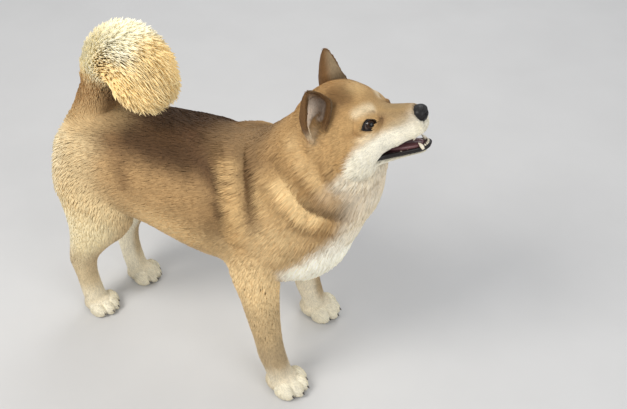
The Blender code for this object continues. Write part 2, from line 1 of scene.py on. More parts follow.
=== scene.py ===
"""A standing shiba inu, life size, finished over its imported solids.

Metres, +Z up: the dog faces +X and its left side is +Y. One hide without a seam runs from nose to tail
under the coat. Eyes, lids, nose, lips, teeth, tongue, pads and claws are pieces of their own. The coat
is laid over the hide in tufts, which Geometry Nodes set out along the lie of the hair, and so are the
whiskers.
"""

import math

import bmesh
import bpy
import numpy as np
from mathutils import Matrix, Vector
from mathutils.bvhtree import BVHTree
from mathutils.kdtree import KDTree


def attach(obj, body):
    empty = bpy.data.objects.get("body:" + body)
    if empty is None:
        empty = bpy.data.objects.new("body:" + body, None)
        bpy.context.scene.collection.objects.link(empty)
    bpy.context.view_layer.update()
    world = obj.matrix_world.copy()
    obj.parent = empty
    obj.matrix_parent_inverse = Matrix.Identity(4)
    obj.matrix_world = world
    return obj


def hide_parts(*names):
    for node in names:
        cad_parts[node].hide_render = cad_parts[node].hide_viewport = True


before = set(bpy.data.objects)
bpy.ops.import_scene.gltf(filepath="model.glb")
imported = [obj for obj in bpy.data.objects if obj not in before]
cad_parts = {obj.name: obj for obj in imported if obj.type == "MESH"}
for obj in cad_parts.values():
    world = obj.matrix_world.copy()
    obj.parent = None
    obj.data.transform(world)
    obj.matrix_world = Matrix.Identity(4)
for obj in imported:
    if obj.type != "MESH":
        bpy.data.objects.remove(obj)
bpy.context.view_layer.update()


# The hide. A dog's skin is one closed sheet, so it is one mesh: stations through the trunk, neck, head,
# jaws, ears, tail, legs and toes are lofted, fused and smoothed. It lies under the coat by the fur's depth,
# which is each row's last number, and its face is then shaped in the head's own frame.
ORIGIN = np.array((-0.0273236, -0.0040118, 0.0))  # where the rows' own origin lies
REGIONS = ("trunk", "neck", "head", "tail", "foreleg", "hindleg", "paw", "ear", "hollow")
X, Y, Z = np.eye(3)

# x, level of the widest line, half width, rise above it, drop below it, coat
trunk_rows = (
    (-0.262, 0.292, 0.026, 0.028, 0.030, 0.0062),
    (-0.252, 0.292, 0.050, 0.050, 0.052, 0.007),
    (-0.232, 0.292, 0.071, 0.073, 0.071, 0.0078),
    (-0.198, 0.294, 0.083, 0.087, 0.078, 0.0078),
    (-0.150, 0.296, 0.087, 0.090, 0.084, 0.0062),
    (-0.090, 0.298, 0.089, 0.092, 0.087, 0.0055),
    (-0.030, 0.297, 0.096, 0.093, 0.100, 0.0055),
    (0.030, 0.293, 0.101, 0.098, 0.108, 0.0062),
    (0.090, 0.290, 0.101, 0.103, 0.109, 0.007),
    (0.138, 0.288, 0.098, 0.098, 0.112, 0.0078),
    (0.174, 0.284, 0.089, 0.089, 0.103, 0.0086),
    (0.200, 0.281, 0.071, 0.073, 0.083, 0.0086),
    (0.217, 0.279, 0.046, 0.050, 0.054, 0.0078),
    (0.226, 0.278, 0.024, 0.028, 0.030, 0.007),
)
# x, y, z, half width, half depth, coat
neck_rows = (
    (0.085, 0.000, 0.280, 0.088, 0.090, 0.0078),
    (0.130, 0.003, 0.312, 0.096, 0.102, 0.0094),
    (0.163, 0.008, 0.350, 0.094, 0.106, 0.0094),
    (0.183, 0.013, 0.386, 0.084, 0.092, 0.0094),
    (0.195, 0.017, 0.420, 0.070, 0.076, 0.0086),
    (0.204, 0.019, 0.448, 0.056, 0.062, 0.007),
)
# In the head's frame: x, level, half width, rise, drop, squareness above and below, coat
head_rows = (
    (-0.088, -0.016, 0.040, 0.042, 0.044, 2.0, 2.0, 0.009),
    (-0.064, -0.022, 0.060, 0.072, 0.054, 1.9, 2.1, 0.008),
    (-0.036, -0.027, 0.068, 0.091, 0.052, 1.8, 2.2, 0.0075),
    (-0.012, -0.030, 0.067, 0.098, 0.046, 1.8, 2.3, 0.0065),
    (0.006, -0.028, 0.060, 0.093, 0.042, 1.8, 2.3, 0.0050),
    (0.020, -0.022, 0.050, 0.078, 0.032, 1.8, 2.3, 0.0036),
    (0.032, -0.014, 0.040, 0.056, 0.029, 1.85, 2.5, 0.0028),
    (0.042, -0.011, 0.032, 0.0350, 0.028, 1.9, 2.8, 0.0024),
    (0.052, -0.011, 0.0275, 0.0280, 0.0260, 2.0, 3.0, 0.0023),
    (0.066, -0.012, 0.0240, 0.0255, 0.0230, 2.1, 3.0, 0.0020),
    (0.080, -0.012, 0.0210, 0.0225, 0.0200, 2.1, 3.0, 0.0018),
    (0.090, -0.012, 0.0180, 0.0190, 0.0160, 2.1, 2.8, 0.0015),
    (0.0945, -0.012, 0.0125, 0.0140, 0.0110, 2.1, 2.4, 0.0012),
)
# In the head's frame: x, level, half width, depth, coat
jaw_rows = (
    (-0.030, -0.035, 0.046, 0.033, 0.008),
    (0.000, -0.036, 0.044, 0.029, 0.006),
    (0.022, -0.036, 0.0340, 0.0255, 0.0040),
    (0.042, -0.037, 0.0255, 0.0235, 0.0028),
    (0.062, -0.038, 0.0200, 0.0220, 0.0022),
    (0.078, -0.039, 0.0165, 0.0205, 0.0018),
    (0.088, -0.040, 0.0125, 0.0165, 0.0016),
    (0.0915, -0.042, 0.0080, 0.0105, 0.0014),
)
mouth_corner = (0.021, -0.0395)
upper_lip = ((0.035, -0.0345), (0.058, -0.0330), (0.077, -0.0290), (0.088, -0.0250), (0.110, -0.0200))
lower_lip = ((0.110, -0.0480), (0.090, -0.0485), (0.075, -0.0480), (0.055, -0.0465), (0.035, -0.0430))
# The two hollows behind the lips: centre, half sizes
mouth_hollows = (
    ((0.050, 0, -0.0375), (0.034, 0.0150, 0.0090)),
    ((0.066, 0, -0.0365), (0.020, 0.0115, 0.0075)),
)
# x, y, z, half length, half width, coat, for the right side
foreleg_rows = (
    (0.097, -0.050, 0.325, 0.032, 0.020, 0.005),
    (0.098, -0.058, 0.290, 0.050, 0.030, 0.005),
    (0.100, -0.066, 0.250, 0.048, 0.032, 0.005),
    (0.103, -0.073, 0.210, 0.040, 0.030, 0.0043),
    (0.110, -0.077, 0.170, 0.031, 0.0265, 0.0032),
    (0.117, -0.080, 0.130, 0.0255, 0.0230, 0.0024),
    (0.124, -0.082, 0.095, 0.0220, 0.0205, 0.002),
    (0.130, -0.083, 0.065, 0.0215, 0.0205, 0.0018),
    (0.139, -0.084, 0.040, 0.0200, 0.0200, 0.0016),
    (0.146, -0.085, 0.018, 0.0180, 0.0190, 0.0014),
)
hindleg_rows = (
    (-0.175, -0.040, 0.350, 0.036, 0.020, 0.0065),
    (-0.181, -0.046, 0.325, 0.064, 0.031, 0.0065),
    (-0.180, -0.055, 0.275, 0.074, 0.036, 0.0065),
    (-0.180, -0.058, 0.235, 0.067, 0.035, 0.0058),
    (-0.190, -0.058, 0.195, 0.053, 0.031, 0.0047),
    (-0.209, -0.056, 0.160, 0.038, 0.0255, 0.0035),
    (-0.226, -0.054, 0.130, 0.0285, 0.0210, 0.0026),
    (-0.236, -0.053, 0.105, 0.0240, 0.0185, 0.0022),
    (-0.236, -0.052, 0.075, 0.0190, 0.0170, 0.0018),
    (-0.233, -0.051, 0.045, 0.0185, 0.0175, 0.0016),
    (-0.228, -0.051, 0.018, 0.0185, 0.0180, 0.0014),
)
# Where each paw's sole stands, how far it turns out in degrees, and its size
paws = {
    "forepaw_right": ((0.157, -0.085), -4, 1.0),
    "forepaw_left": ((0.136, 0.092), 8, 1.0),
    "hindpaw_right": ((-0.214, -0.051), -3, 0.90),
    "hindpaw_left": ((-0.191, 0.048), 4, 0.90),
}
toe_length, toe_width, toe_height = 0.0175, 0.0115, 0.0150
# Each toe's place across in toe widths, its share of the reach ahead, and its splay in degrees
toe_fan = ((-1.65, 0.35, -9), (-0.58, 1.0, -3), (0.58, 1.0, 3), (1.65, 0.35, 9))
toe_reach, toe_droop, toe_coat = 0.0155, math.radians(14), np.array((0.0010, 0.0013, 0.0014))
palm_sizes, palm_height, palm_back, ankle_back = np.array((0.0250, 0.0222, 0.0185)), 0.016, 0.008, 0.0096
foreleg_bend, hindleg_bend = 0.270, 0.300  # below these levels a leg leans towards its own paw
# x, y, z, the fleshy tail's half width, and the coat round it
tail_rows = (
    (-0.200, 0.000, 0.340, 0.0420, 0.008),
    (-0.193, 0.000, 0.370, 0.0360, 0.008),
    (-0.184, 0.000, 0.398, 0.0270, 0.010),
    (-0.172, -0.002, 0.430, 0.0240, 0.015),
    (-0.154, -0.006, 0.464, 0.0260, 0.019),
    (-0.129, -0.012, 0.481, 0.0280, 0.020),
    (-0.105, -0.018, 0.473, 0.0280, 0.020),
    (-0.087, -0.022, 0.461, 0.0220, 0.018),
    (-0.077, -0.025, 0.453, 0.0145, 0.016),
)
# The left ear in the head's frame, root to tip: its front edge, the two turns of its back, its outer edge
ear_rows = (
    ((-0.031, 0.050, 0.006), (-0.039, 0.038, 0.006), (-0.045, 0.044, 0.006), (-0.040, 0.055, 0.004)),
    ((-0.023, 0.054, 0.024), (-0.033, 0.038, 0.026), (-0.047, 0.044, 0.026), (-0.041, 0.062, 0.024)),
    ((-0.012, 0.050, 0.043), (-0.030, 0.035, 0.046), (-0.047, 0.045, 0.043), (-0.040, 0.064, 0.043)),
    ((-0.008, 0.043, 0.060), (-0.028, 0.035, 0.060), (-0.044, 0.048, 0.058), (-0.038, 0.064, 0.058)),
    ((-0.012, 0.047, 0.073), (-0.027, 0.043, 0.075), (-0.039, 0.053, 0.072), (-0.035, 0.064, 0.070)),
    ((-0.019, 0.054, 0.084), (-0.027, 0.052, 0.085), (-0.034, 0.057, 0.083), (-0.031, 0.063, 0.081)),
    ((-0.025, 0.059, 0.0905), (-0.0275, 0.0590, 0.0905), (-0.0295, 0.060, 0.090), (-0.0285, 0.0615, 0.0895)),
)
ear_twists, ear_leans, ear_stretches = {1: -8, -1: 12}, {1: -2, -1: 7}, {1: 1.0, -1: 0.94}
ear_axis, ear_thickness, ear_root = np.array((-0.028, 0.050, 0.025)), 0.0054, 0.035

yaw, pitch = math.radians(7.5), math.radians(23)
head_turn = np.array(Matrix.Rotation(yaw, 3, "Z") @ Matrix.Rotation(-pitch, 3, "Y"))
head_at = ORIGIN + (0.219, 0.021, 0.443)


def from_head(points):
    return np.asarray(points) @ head_turn.T + head_at


def in_head(points):
    return (np.asarray(points) - head_at) @ head_turn


def eased(rows, steps=5):
    """More rows, on a smooth curve through the given ones."""
    rows = np.array(rows, float)
    last = len(rows) - 1
    found = []
    for i in range(last):
        a, b, c, d = (rows[min(max(k, 0), last)] for k in (i - 1, i, i + 1, i + 2))
        for t in np.arange(steps) / steps:
            bend = 2 * a - 5 * b + 4 * c - d + t * (3 * b - a - 3 * c + d)
            found.append(b + 0.5 * t * (c - a + t * bend))
    return np.array(found + [rows[last]])


def oval(centre, across, up, half_width, rise, drop, above=2.0, below=2.0, sides=44):
    """A ring of points whose upper and lower halves have their own heights and squareness."""
    turn = np.arange(sides) * 2 * math.pi / sides
    side, height = np.cos(turn), np.sin(turn)
    power = 2 / np.where(height > 0, above, below)
    side = np.copysign(np.abs(side) ** power, side) * half_width
    height = np.copysign(np.abs(height) ** power, height) * np.where(height > 0, rise, drop)
    return centre + np.outer(side, across) + np.outer(height, up)


def loft_faces(count, sides):
    faces = [tuple(range(sides))[::-1], tuple(range((count - 1) * sides, count * sides))]
    for low in range(0, (count - 1) * sides, sides):
        for i in range(sides):
            j = (i + 1) % sides
            faces.append((low + i, low + j, low + sides + j, low + sides + i))
    return faces


def piece(name, points, faces):
    """A mesh object at the origin, with its faces turned outwards."""
    mesh = bpy.data.meshes.new(name)
    mesh.from_pydata([tuple(point) for point in points], [], faces)
    work = bmesh.new()
    work.from_mesh(mesh)
    bmesh.ops.recalc_face_normals(work, faces=work.faces)
    work.to_mesh(mesh)
    work.free()
    made = bpy.data.objects.new(name, mesh)
    bpy.context.scene.collection.objects.link(made)
    return made


def settle(thing):
    """Gives the object the mesh that its modifiers make."""
    bpy.context.view_layer.update()
    graph = bpy.context.evaluated_depsgraph_get()
    made = bpy.data.meshes.new_from_object(
        thing.evaluated_get(graph), preserve_all_data_layers=True, depsgraph=graph
    )
    thing.modifiers.clear()
    old, thing.data = thing.data, made
    if not old.users:
        bpy.data.meshes.remove(old)


def joined(forms):
    """Several (points, faces) as one."""
    points, faces = [], []
    for more, their in forms:
        start = sum(len(one) for one in points)
        points.append(np.asarray(more))
        faces += [tuple(start + i for i in face) for face in their]
    return np.concatenate(points), faces


def ball(centre, half_sizes, turn=np.eye(3), cuts=3):
    work = bmesh.new()
    bmesh.ops.create_icosphere(work, subdivisions=cuts, radius=1)
    points = np.array([vertex.co for vertex in work.verts]) * half_sizes @ turn.T + centre
    faces = [tuple(vertex.index for vertex in face.verts) for face in work.faces]
    work.free()
    return points, faces


def along(points):
    """For each point of a path, the way across it, the way up from it and the way ahead."""
    ahead = np.gradient(points, axis=0)
    ahead /= np.linalg.norm(ahead, axis=1)[:, None]
    across = np.cross(Z, ahead)
    flat = np.linalg.norm(across, axis=1) < 0.05
    across[flat] = Y
    across /= np.linalg.norm(across, axis=1)[:, None]
    for i in range(1, len(across)):
        if across[i] @ across[i - 1] < 0:
            across[i] *= -1
    return across, np.cross(ahead, across), ahead


forms, marks = [], []  # each mark: place, region, depth of coat, lie of the hair


def add_form(rings, region, coats, lies):
    rings = np.array(rings)
    forms.append((rings.reshape(-1, 3), loft_faces(*rings.shape[:2])))
    for ring, coat, lie in zip(rings, coats, lies):
        marks.extend((place, region, coat, lie) for place in ring)


rows = eased(trunk_rows)
rings = [
    oval(ORIGIN + (x, 0, level), Y, Z, width - coat, rise - coat, drop - coat, 2.15, 2.15)
    for x, level, width, rise, drop, coat in rows
]
chest_share = np.clip((rows[:, 0] - 0.08) / 0.12, 0, 1)  # the chest's hair hangs, the back's lies flat
add_form(rings, "trunk", rows[:, 5], [(-1, 0, -0.35 - 1.8 * share) for share in chest_share])

rows = eased(neck_rows)
across, up, ahead = along(rows[:, :3])
rings = [
    oval(ORIGIN + row[:3], side, rise, row[3] - row[5], row[4] - row[5], row[4] - row[5])
    for row, side, rise in zip(rows, across, up)
]
add_form(rings, "neck", rows[:, 5], -ahead)

rows = eased(tail_rows)
across, up, ahead = along(rows[:, :3])
rings = [
    oval(ORIGIN + row[:3], side, rise, row[3], row[3], row[3])
    for row, side, rise in zip(rows, across, up)
]
add_form(rings, "tail", rows[:, 4], ahead)

toe_places = {}
for name, ((foot_x, foot_y), turn_out, size) in paws.items():
    side = 1 if name.endswith("left") else -1
    fore = name.startswith("fore")
    leg_rows, top = (foreleg_rows, foreleg_bend) if fore else (hindleg_rows, hindleg_bend)
    plain_x, plain_y = leg_rows[-1][0], leg_rows[-1][1] * -side
    rows = eased(leg_rows)
    rings = []
    for x, y, z, half_length, half_width, coat in rows:
        lean = min(max((top - z) / top, 0), 1)
        centre = (x + (foot_x - ankle_back - plain_x) * lean, y * -side + (foot_y - plain_y) * lean, z)
        rings.append(oval(ORIGIN + centre, Y, X, half_width - coat, half_length - coat, half_length - coat))
    add_form(rings, "foreleg" if fore else "hindleg", rows[:, 5], [(-0.15, 0, -1)] * len(rows))
    turn = math.radians(turn_out)
    ahead = np.array((math.cos(turn), math.sin(turn), 0))
    left = np.array((-math.sin(turn), math.cos(turn), 0))
    spin = np.array(Matrix.Rotation(turn, 3, "Z"))
    back = ORIGIN + (foot_x, foot_y, palm_height * size) - ahead * palm_back * size
    balls = [ball(back, palm_sizes * size, spin)]
    toe_places[name] = []
    for across, forward, splay in toe_fan:
        at = ORIGIN + (foot_x, foot_y, toe_height * size * 0.80)
        at = at + left * across * toe_width * size * 0.98 + ahead * (forward * toe_reach - 0.001) * size
        heading = turn + math.radians(splay)
        toe_turn = np.array(Matrix.Rotation(heading, 3, "Z") @ Matrix.Rotation(toe_droop, 3, "Y"))
        sizes = (np.array((toe_length, toe_width, toe_height)) - toe_coat) * size
        balls.append(ball(at, sizes, toe_turn))
        toe_places[name].append((at, heading, size))
    for points, faces in balls:
        forms.append((points, faces))
        marks.extend((place, "paw", 0.0016, (ahead[0], ahead[1], -0.5)) for place in points)

for side in (1, -1):
    rows = np.array([[value for corner in row for value in corner] for row in ear_rows])
    rows = eased(rows, 3)
    rings = []
    for number, row in enumerate(rows):
        corners = row.reshape(4, 3) * (1, side, 1)
        back = eased(corners, 4)
        middle = back[len(back) // 2]
        lengthwise = np.cross(back[-1] - back[0], middle - back[0])
        lengthwise /= np.linalg.norm(lengthwise)
        thickness = ear_thickness * (1 - 0.42 * number / (len(rows) - 1))
        inner = []
        last = len(back) - 1
        for i in range(last + 1):
            inwards = np.cross(lengthwise, back[min(i + 1, last)] - back[max(i - 1, 0)])
            ease = min(1.0, 0.55 + 1.8 * min(i, last - i) / last)
            inner.append(back[i] + inwards / np.linalg.norm(inwards) * thickness * ease)
        rings.append(np.concatenate((back, inner[::-1])))
    rings = np.array(rings) - ear_axis * (1, side, 1)
    free = np.clip(rings[..., 2:] / ear_root, 0, 1)
    rings[..., 2:] *= 1 + (ear_stretches[side] - 1) * free
    turned = rings @ np.array(Matrix.Rotation(math.radians(ear_leans[side]), 3, "Y")
                              @ Matrix.Rotation(math.radians(ear_twists[side]), 3, "Z")).T
    rings = from_head(rings * (1 - free) + turned * free + ear_axis * (1, side, 1))
    lies = np.gradient(rings.mean(1), axis=0)
    forms.append((rings.reshape(-1, 3), loft_faces(*rings.shape[:2])))
    for ring, lie in zip(rings, lies / np.linalg.norm(lies, axis=1)[:, None]):
        half = len(ring) // 2
        marks.extend((place, "hollow", 0.0012, lie) for place in ring[2:half - 2])
        marks.extend((place, "ear", 0.0012, lie) for place in ring[half:])

# The head and the lower jaw, with the open mouth cut between the lips and hollowed behind them
head_coat, jaw_rise = 0.45, 0.010  # the crown's share of its coat's depth; the jaw's height over its rows
rows = eased(head_rows)
head_rings = np.array([
    oval(np.array((x, 0, level)), Y, Z, width - coat, rise - coat * head_coat, drop - coat, above, below)
    for x, level, width, rise, drop, above, below, coat in rows
])
jaw_eased = eased(jaw_rows)
jaw_rings = np.array([
    oval(np.array((x, 0, level)), Y, Z, width - coat, jaw_rise, depth - coat, 2.4, 2.4)
    for x, level, width, depth, coat in jaw_eased
])
for ring, row in zip(head_rings, rows):
    crown = ring[:, 2] >= row[1] + 0.02
    coats = row[7] * np.where(crown, 0.5, 1)
    lie = head_turn @ (-1, 0, -0.05)
    marks.extend((place, "head", coat, lie) for coat, place in zip(coats, from_head(ring)))
for ring, row in zip(jaw_rings, jaw_eased):
    marks.extend((place, "head", row[4], head_turn @ (-1, 0, -0.2)) for place in from_head(ring))
outline = [mouth_corner, *upper_lip, *lower_lip]
slot_points = [(x, y, z) for y in (-0.07, 0.07) for x, z in outline]  # wider than the jaws
count = len(outline)
slot_faces = [tuple(range(count)), tuple(range(count, 2 * count))]
slot_faces += [(i, (i + 1) % count, count + (i + 1) % count, count + i) for i in range(count)]
hollows = [(slot_points, slot_faces)] + [ball(centre, sizes) for centre, sizes in mouth_hollows]
for rings in (head_rings, jaw_rings):
    part = piece("part", rings.reshape(-1, 3), loft_faces(*rings.shape[:2]))
    for hollow in hollows:
        tool = piece("hollow", *hollow)
        cut = part.modifiers.new("cut", "BOOLEAN")
        cut.solver = "EXACT"
        cut.object = tool
        settle(part)
        bpy.data.objects.remove(tool)
    points = np.array([vertex.co for vertex in part.data.vertices])
    forms.append((from_head(points), [tuple(face.vertices) for face in part.data.polygons]))
    bpy.data.objects.remove(part)

# The forms become one sheet: fused by voxels, smoothed, shaped round the eyes and thinned out
voxel, hide_triangles = 0.0013, 186000
hide = piece("hide", *joined(forms))
fuse = hide.modifiers.new("fuse", "REMESH")
fuse.mode = "VOXEL"
fuse.voxel_size = voxel
settle(hide)

mark_tree = KDTree(len(marks))
for number, (place, *_) in enumerate(marks):
    mark_tree.insert(place, number)
mark_tree.balance()
mark_values = np.concatenate(
    (
        np.eye(len(REGIONS))[[REGIONS.index(region) for _, region, _, _ in marks]],
        np.array([(coat,) for _, _, coat, _ in marks]),
        np.array([lie for _, _, _, lie in marks]),
    ),
    axis=1,
)


def read(owner, name, width, kind=float):
    found = np.empty(len(owner) * width, np.float32 if kind is float else np.int32)
    owner.foreach_get(name, found)
    return found.reshape(-1, width) if width > 1 else found


def marked(points):
    """The marks of the nearest stations, at each point."""
    found = np.empty((len(points), mark_values.shape[1]))
    for number, point in enumerate(points):
        nearest = mark_tree.find_n(point, 5)
        weights = np.array([1 / (distance * distance + 4e-6) for _, _, distance in nearest])
        found[number] = weights @ mark_values[[which for _, which, _ in nearest]] / weights.sum()
    return found


def shares(kinds):
    """Each region's share at each point, the ear's with its hollow."""
    found = {name: kinds[:, i] for i, name in enumerate(REGIONS)}
    found["ear"] = found["ear"] + found["hollow"]
    return found


def links_of(mesh):
    ends = read(mesh.edges, "vertices", 2, int)
    return np.concatenate((ends, ends[:, ::-1])).T


def averaged(values, links):
    """Each vertex's mean over its neighbours."""
    count = len(values)
    sums = [np.bincount(links[0], column[links[1]], count) for column in values.T]
    return np.stack(sums, 1) / np.bincount(links[0], minlength=count)[:, None]


def smoothed(values, share, rounds):
    """Each vertex's value drawn to its neighbours' mean, round after round."""
    for _ in range(rounds):
        values = values + share * (averaged(values, links) - values)
    return values


def ramp(values, low, high):
    """0 below low, 1 above high, smooth between."""
    share = np.clip((values - low) / (high - low), 0, 1)
    return share * share * (3 - 2 * share)


def near(places, centre, reach):
    """1 at a place, falling softly to 0 around it."""
    away = (places - np.asarray(centre)) / np.asarray(reach)
    return np.exp(-(away**2).sum(-1))


def stroke(places, path, reach):
    """1 along a path, falling softly to 0 beside it."""
    path = np.asarray(path, float)
    away = np.full(len(places), 9.0)
    for start, end in zip(path, path[1:]):
        way = end - start
        share = np.clip(((places - start) @ way) / (way @ way), 0, 1)
        away = np.minimum(away, np.linalg.norm(places - start - share[:, None] * way, axis=1))
    return np.exp(-(away / reach) ** 3)


def on_side(places, side):
    """The places, with those of the other side mirrored to this one."""
    return np.stack((places[:, 0], side * np.abs(places[:, 1]), places[:, 2]), 1)


eye_at, eye_radius = np.array((0.0278, 0.0270, 0.0092)), 0.0105
eye_centres = [Vector(from_head(eye_at * (1, side, 1))) for side in (1, -1)]


def off_eye(place):
    """How far a place is from the nearer eye's centre."""
    return min((place - centre).length for centre in eye_centres)


for reach in (0.020, 0.0155):  # the mesh is halved round the eyes, and halved again at the lids
    finer = bmesh.new()
    finer.from_mesh(hide.data)
    edges = [edge for edge in finer.edges if off_eye(edge.verts[0].co) < reach]
    bmesh.ops.subdivide_edges(finer, edges=edges, cuts=1, use_grid_fill=True)
    finer.to_mesh(hide.data)
    finer.free()
points = read(hide.data.vertices, "co", 3)
links = links_of(hide.data)
kinds = marked(points)
part_of = shares(kinds)
soft = 1 - 0.72 * part_of["head"] - 0.93 * part_of["paw"] - 0.93 * part_of["ear"]
points = smoothed(points, 0.55 * np.clip(soft, 0.05, 1)[:, None], 34)

eye_out = np.array((0.62, 0.76, 0.20))
eye_out /= np.linalg.norm(eye_out)
eye_along = np.array((0.79, -0.61, 0.02))
eye_along -= eye_out * (eye_along @ eye_out)
eye_along /= np.linalg.norm(eye_along)
eye_up = np.cross(eye_out, eye_along) * (1 if np.cross(eye_out, eye_along)[2] > 0 else -1)
slit_half, upper_lid, lower_lid, lid_thickness, eye_sunk = 0.0122, 0.0070, 0.0053, 0.0015, 0.0028
# Bones and hollows of the face: centre, radius, push
face_forms = (
    ((0.020, 0.024, 0.030), 0.012, (0.0012, 0.0004, 0.0016)),  # brow
    ((0.046, 0.014, 0.003), 0.009, (0.0000, -0.0022, -0.0006)),  # hollow before the eye
    ((0.010, 0.050, -0.010), 0.016, (0.0000, 0.0020, 0.0000)),  # cheek
    ((0.034, 0.000, 0.030), 0.012, (-0.0012, 0.0000, -0.0018)),  # stop
    ((0.080, 0.016, -0.020), 0.010, (0.0004, 0.0014, -0.0004)),  # whisker pad
    ((0.060, 0.018, 0.000), 0.010, (0.0000, -0.0010, 0.0000)),  # side of the muzzle
)


def lid_depth(a, b, over):
    """How far out a lid lies over the eyeball, with a floor at the corners."""
    return np.sqrt(np.maximum((eye_radius + over) ** 2 - a * a - b * b, (0.0072 + over) ** 2))


def shaped(places):
    """The face's own form, in the head's frame."""
    side = np.where(places[:, 1] < 0, -1.0, 1.0)
    flat = on_side(places, 1)
    moved = flat.copy()
    for centre, radius, push in face_forms:
        reach = np.exp(-(np.linalg.norm(flat - centre, axis=1) / radius) ** 2)[:, None]
        moved += reach * push
    x, y, z = flat.T
    groove = np.exp(-(y / 0.0030) ** 2) * ramp(z, 0.018, 0.032) * ramp(-x, -0.040, 0.010)
    moved[:, 2] -= 0.0016 * groove
    philtrum = np.exp(-(y / 0.0012) ** 2) * ramp(x, 0.086, 0.090) * ramp(-z, 0.010, 0.014)
    moved[:, 0] -= 0.0016 * philtrum
    rel = moved - eye_at
    a, b, c = rel @ eye_along, rel @ eye_up, rel @ eye_out
    lid = np.where(b > 0, upper_lid, lower_lid)
    almond = (a / slit_half) ** 2 + np.abs(b) / lid
    close = (c > 0.001) & (np.hypot(a, b) < 0.034)
    closed_lid = ramp(almond, 0.80, 1.12)
    target = lid_depth(a, b, -eye_sunk) * (1 - closed_lid) + lid_depth(a, b, lid_thickness) * closed_lid
    blend = (1 - ramp(almond, 1.4, 3.4)) * close * ramp(c, 0.001, 0.006)
    moved += eye_out * ((target - c) * blend)[:, None]
    moved[:, 1] *= side
    return moved


near_face = part_of["head"] > 0.5
places = in_head(points)
points = np.where(near_face[:, None], from_head(shaped(places)), points)
points[:, 2] = np.maximum(points[:, 2], 0.0006)
hide.data.vertices.foreach_set("co", points.astype(np.float32).ravel())

# The face, paws and ears are thinned out least
plain = hide.vertex_groups.new(name="plain")
weight = np.where(part_of["paw"] + part_of["ear"] > 0.5, 0.99, 1.0)
weight = np.where(near_face & (places[:, 0] > -0.03), 0.985, weight)
for value in np.unique(weight):
    plain.add(np.flatnonzero(weight == value).tolist(), float(value), "REPLACE")
fewer = hide.modifiers.new("fewer", "DECIMATE")
fewer.ratio = min(1.0, hide_triangles / (2 * len(hide.data.polygons)))
fewer.vertex_group = "plain"
fewer.vertex_group_factor = 1.0
settle(hide)
hide.vertex_groups.clear()
hide.data.polygons.foreach_set("use_smooth", np.ones(len(hide.data.polygons), bool))

# The body is evened once more. Most rounds pull in and push out by turns, so the rump keeps its volume;
# the tail's root and the throat are pulled alone, and the throat filled, before the neck is folded.
points = read(hide.data.vertices, "co", 3).astype(float)
links = links_of(hide.data)
kinds = smoothed(marked(points), 0.5, 8)
coat_columns = slice(len(REGIONS), None)
kinds[:, coat_columns] = smoothed(kinds[:, coat_columns], 0.5, 40)
part_of = shares(kinds)
upper_legs = (part_of["foreleg"] + part_of["hindleg"]) * ramp(points[:, 2], 0.19, 0.24)
even = np.clip(part_of["trunk"] + part_of["neck"] + part_of["tail"] + upper_legs, 0, 1) ** 3
even = (even * (1 - 0.5 * part_of["tail"] ** 2))[:, None]
firm = np.clip(part_of["tail"] + upper_legs + ramp(-points[:, 0], -0.030, 0.020), 0, 1)[:, None]
for _ in range(60):
    points = smoothed(points, 0.5 * even, 1)
    points = smoothed(points, -0.53 * firm * even, 1)
tail_root = near(points, ORIGIN + (-0.186, 0, 0.378), (0.055, 0.055, 0.028))
throat = near(points, ORIGIN + (0.225, 0.005, 0.334), (0.055, 0.100, 0.026))
points = smoothed(points, 0.5 * np.maximum(tail_root, throat)[:, None] * even, 70)
filled = 0.005 * throat + 0.004 * near(points, ORIGIN + (0.222, 0.010, 0.362), (0.050, 0.100, 0.030))
hide.data.vertices.foreach_set("co", points.astype(np.float32).ravel())
points = points + read(hide.data.vertices, "normal", 3) * filled[:, None] * even
hide.data.vertices.foreach_set("co", points.astype(np.float32).ravel())
skin_normals = read(hide.data.vertices, "normal", 3).astype(float)
outer = points + skin_normals * kinds[:, len(REGIONS), None]
# Path of a fold or ridge over the right shoulder, its reach, and how far it stands out
folds = (
    (((-0.040, -0.023, 0.387), (-0.020, -0.048, 0.382), (0.008, -0.070, 0.370), (0.034, -0.086, 0.353)),
     0.012, -0.0022),
    (((0.026, -0.037, 0.388), (0.046, -0.075, 0.367), (0.066, -0.104, 0.297)), 0.012, 0.0030),
    (((0.050, -0.037, 0.403), (0.072, -0.077, 0.375), (0.086, -0.100, 0.330)), 0.009, -0.0040),
    (((0.103, -0.061, 0.412), (0.134, -0.079, 0.393), (0.156, -0.083, 0.374), (0.172, -0.081, 0.360)),
     0.008, -0.0040),
    (((0.123, -0.043, 0.439), (0.139, -0.059, 0.424), (0.160, -0.067, 0.411), (0.178, -0.068, 0.397)),
     0.009, 0.0035),
    (((0.172, -0.078, 0.361), (0.191, -0.071, 0.352), (0.208, -0.057, 0.342)), 0.010, -0.0025),
    (((0.157, -0.054, 0.434), (0.174, -0.060, 0.418), (0.193, -0.060, 0.400), (0.206, -0.056, 0.385)),
     0.006, -0.0020),
)
for path, reach, push in folds:
    points += skin_normals * (push * even[:, 0] * stroke(on_side(outer, -1), path, reach))[:, None]
hide.data.vertices.foreach_set("co", points.astype(np.float32).ravel())

# Where the hide is bare, how the coat lies on it, and its colours. Red sable over the back and shoulders
# pales to cream on cheeks, throat, chest, belly, inner legs, paws and tail. The colours are painted in
# soft patches and strokes on the right side and mirrored, the same on the hide and on the tufts.
depth, lie = kinds[:, len(REGIONS)], kinds[:, len(REGIONS) + 1:]
lie = lie / np.maximum(np.linalg.norm(lie, axis=1), 1e-6)[:, None]
skin_normals = read(hide.data.vertices, "normal", 3).astype(float)
face_places = in_head(points)
head_part = part_of["head"] + part_of["ear"]


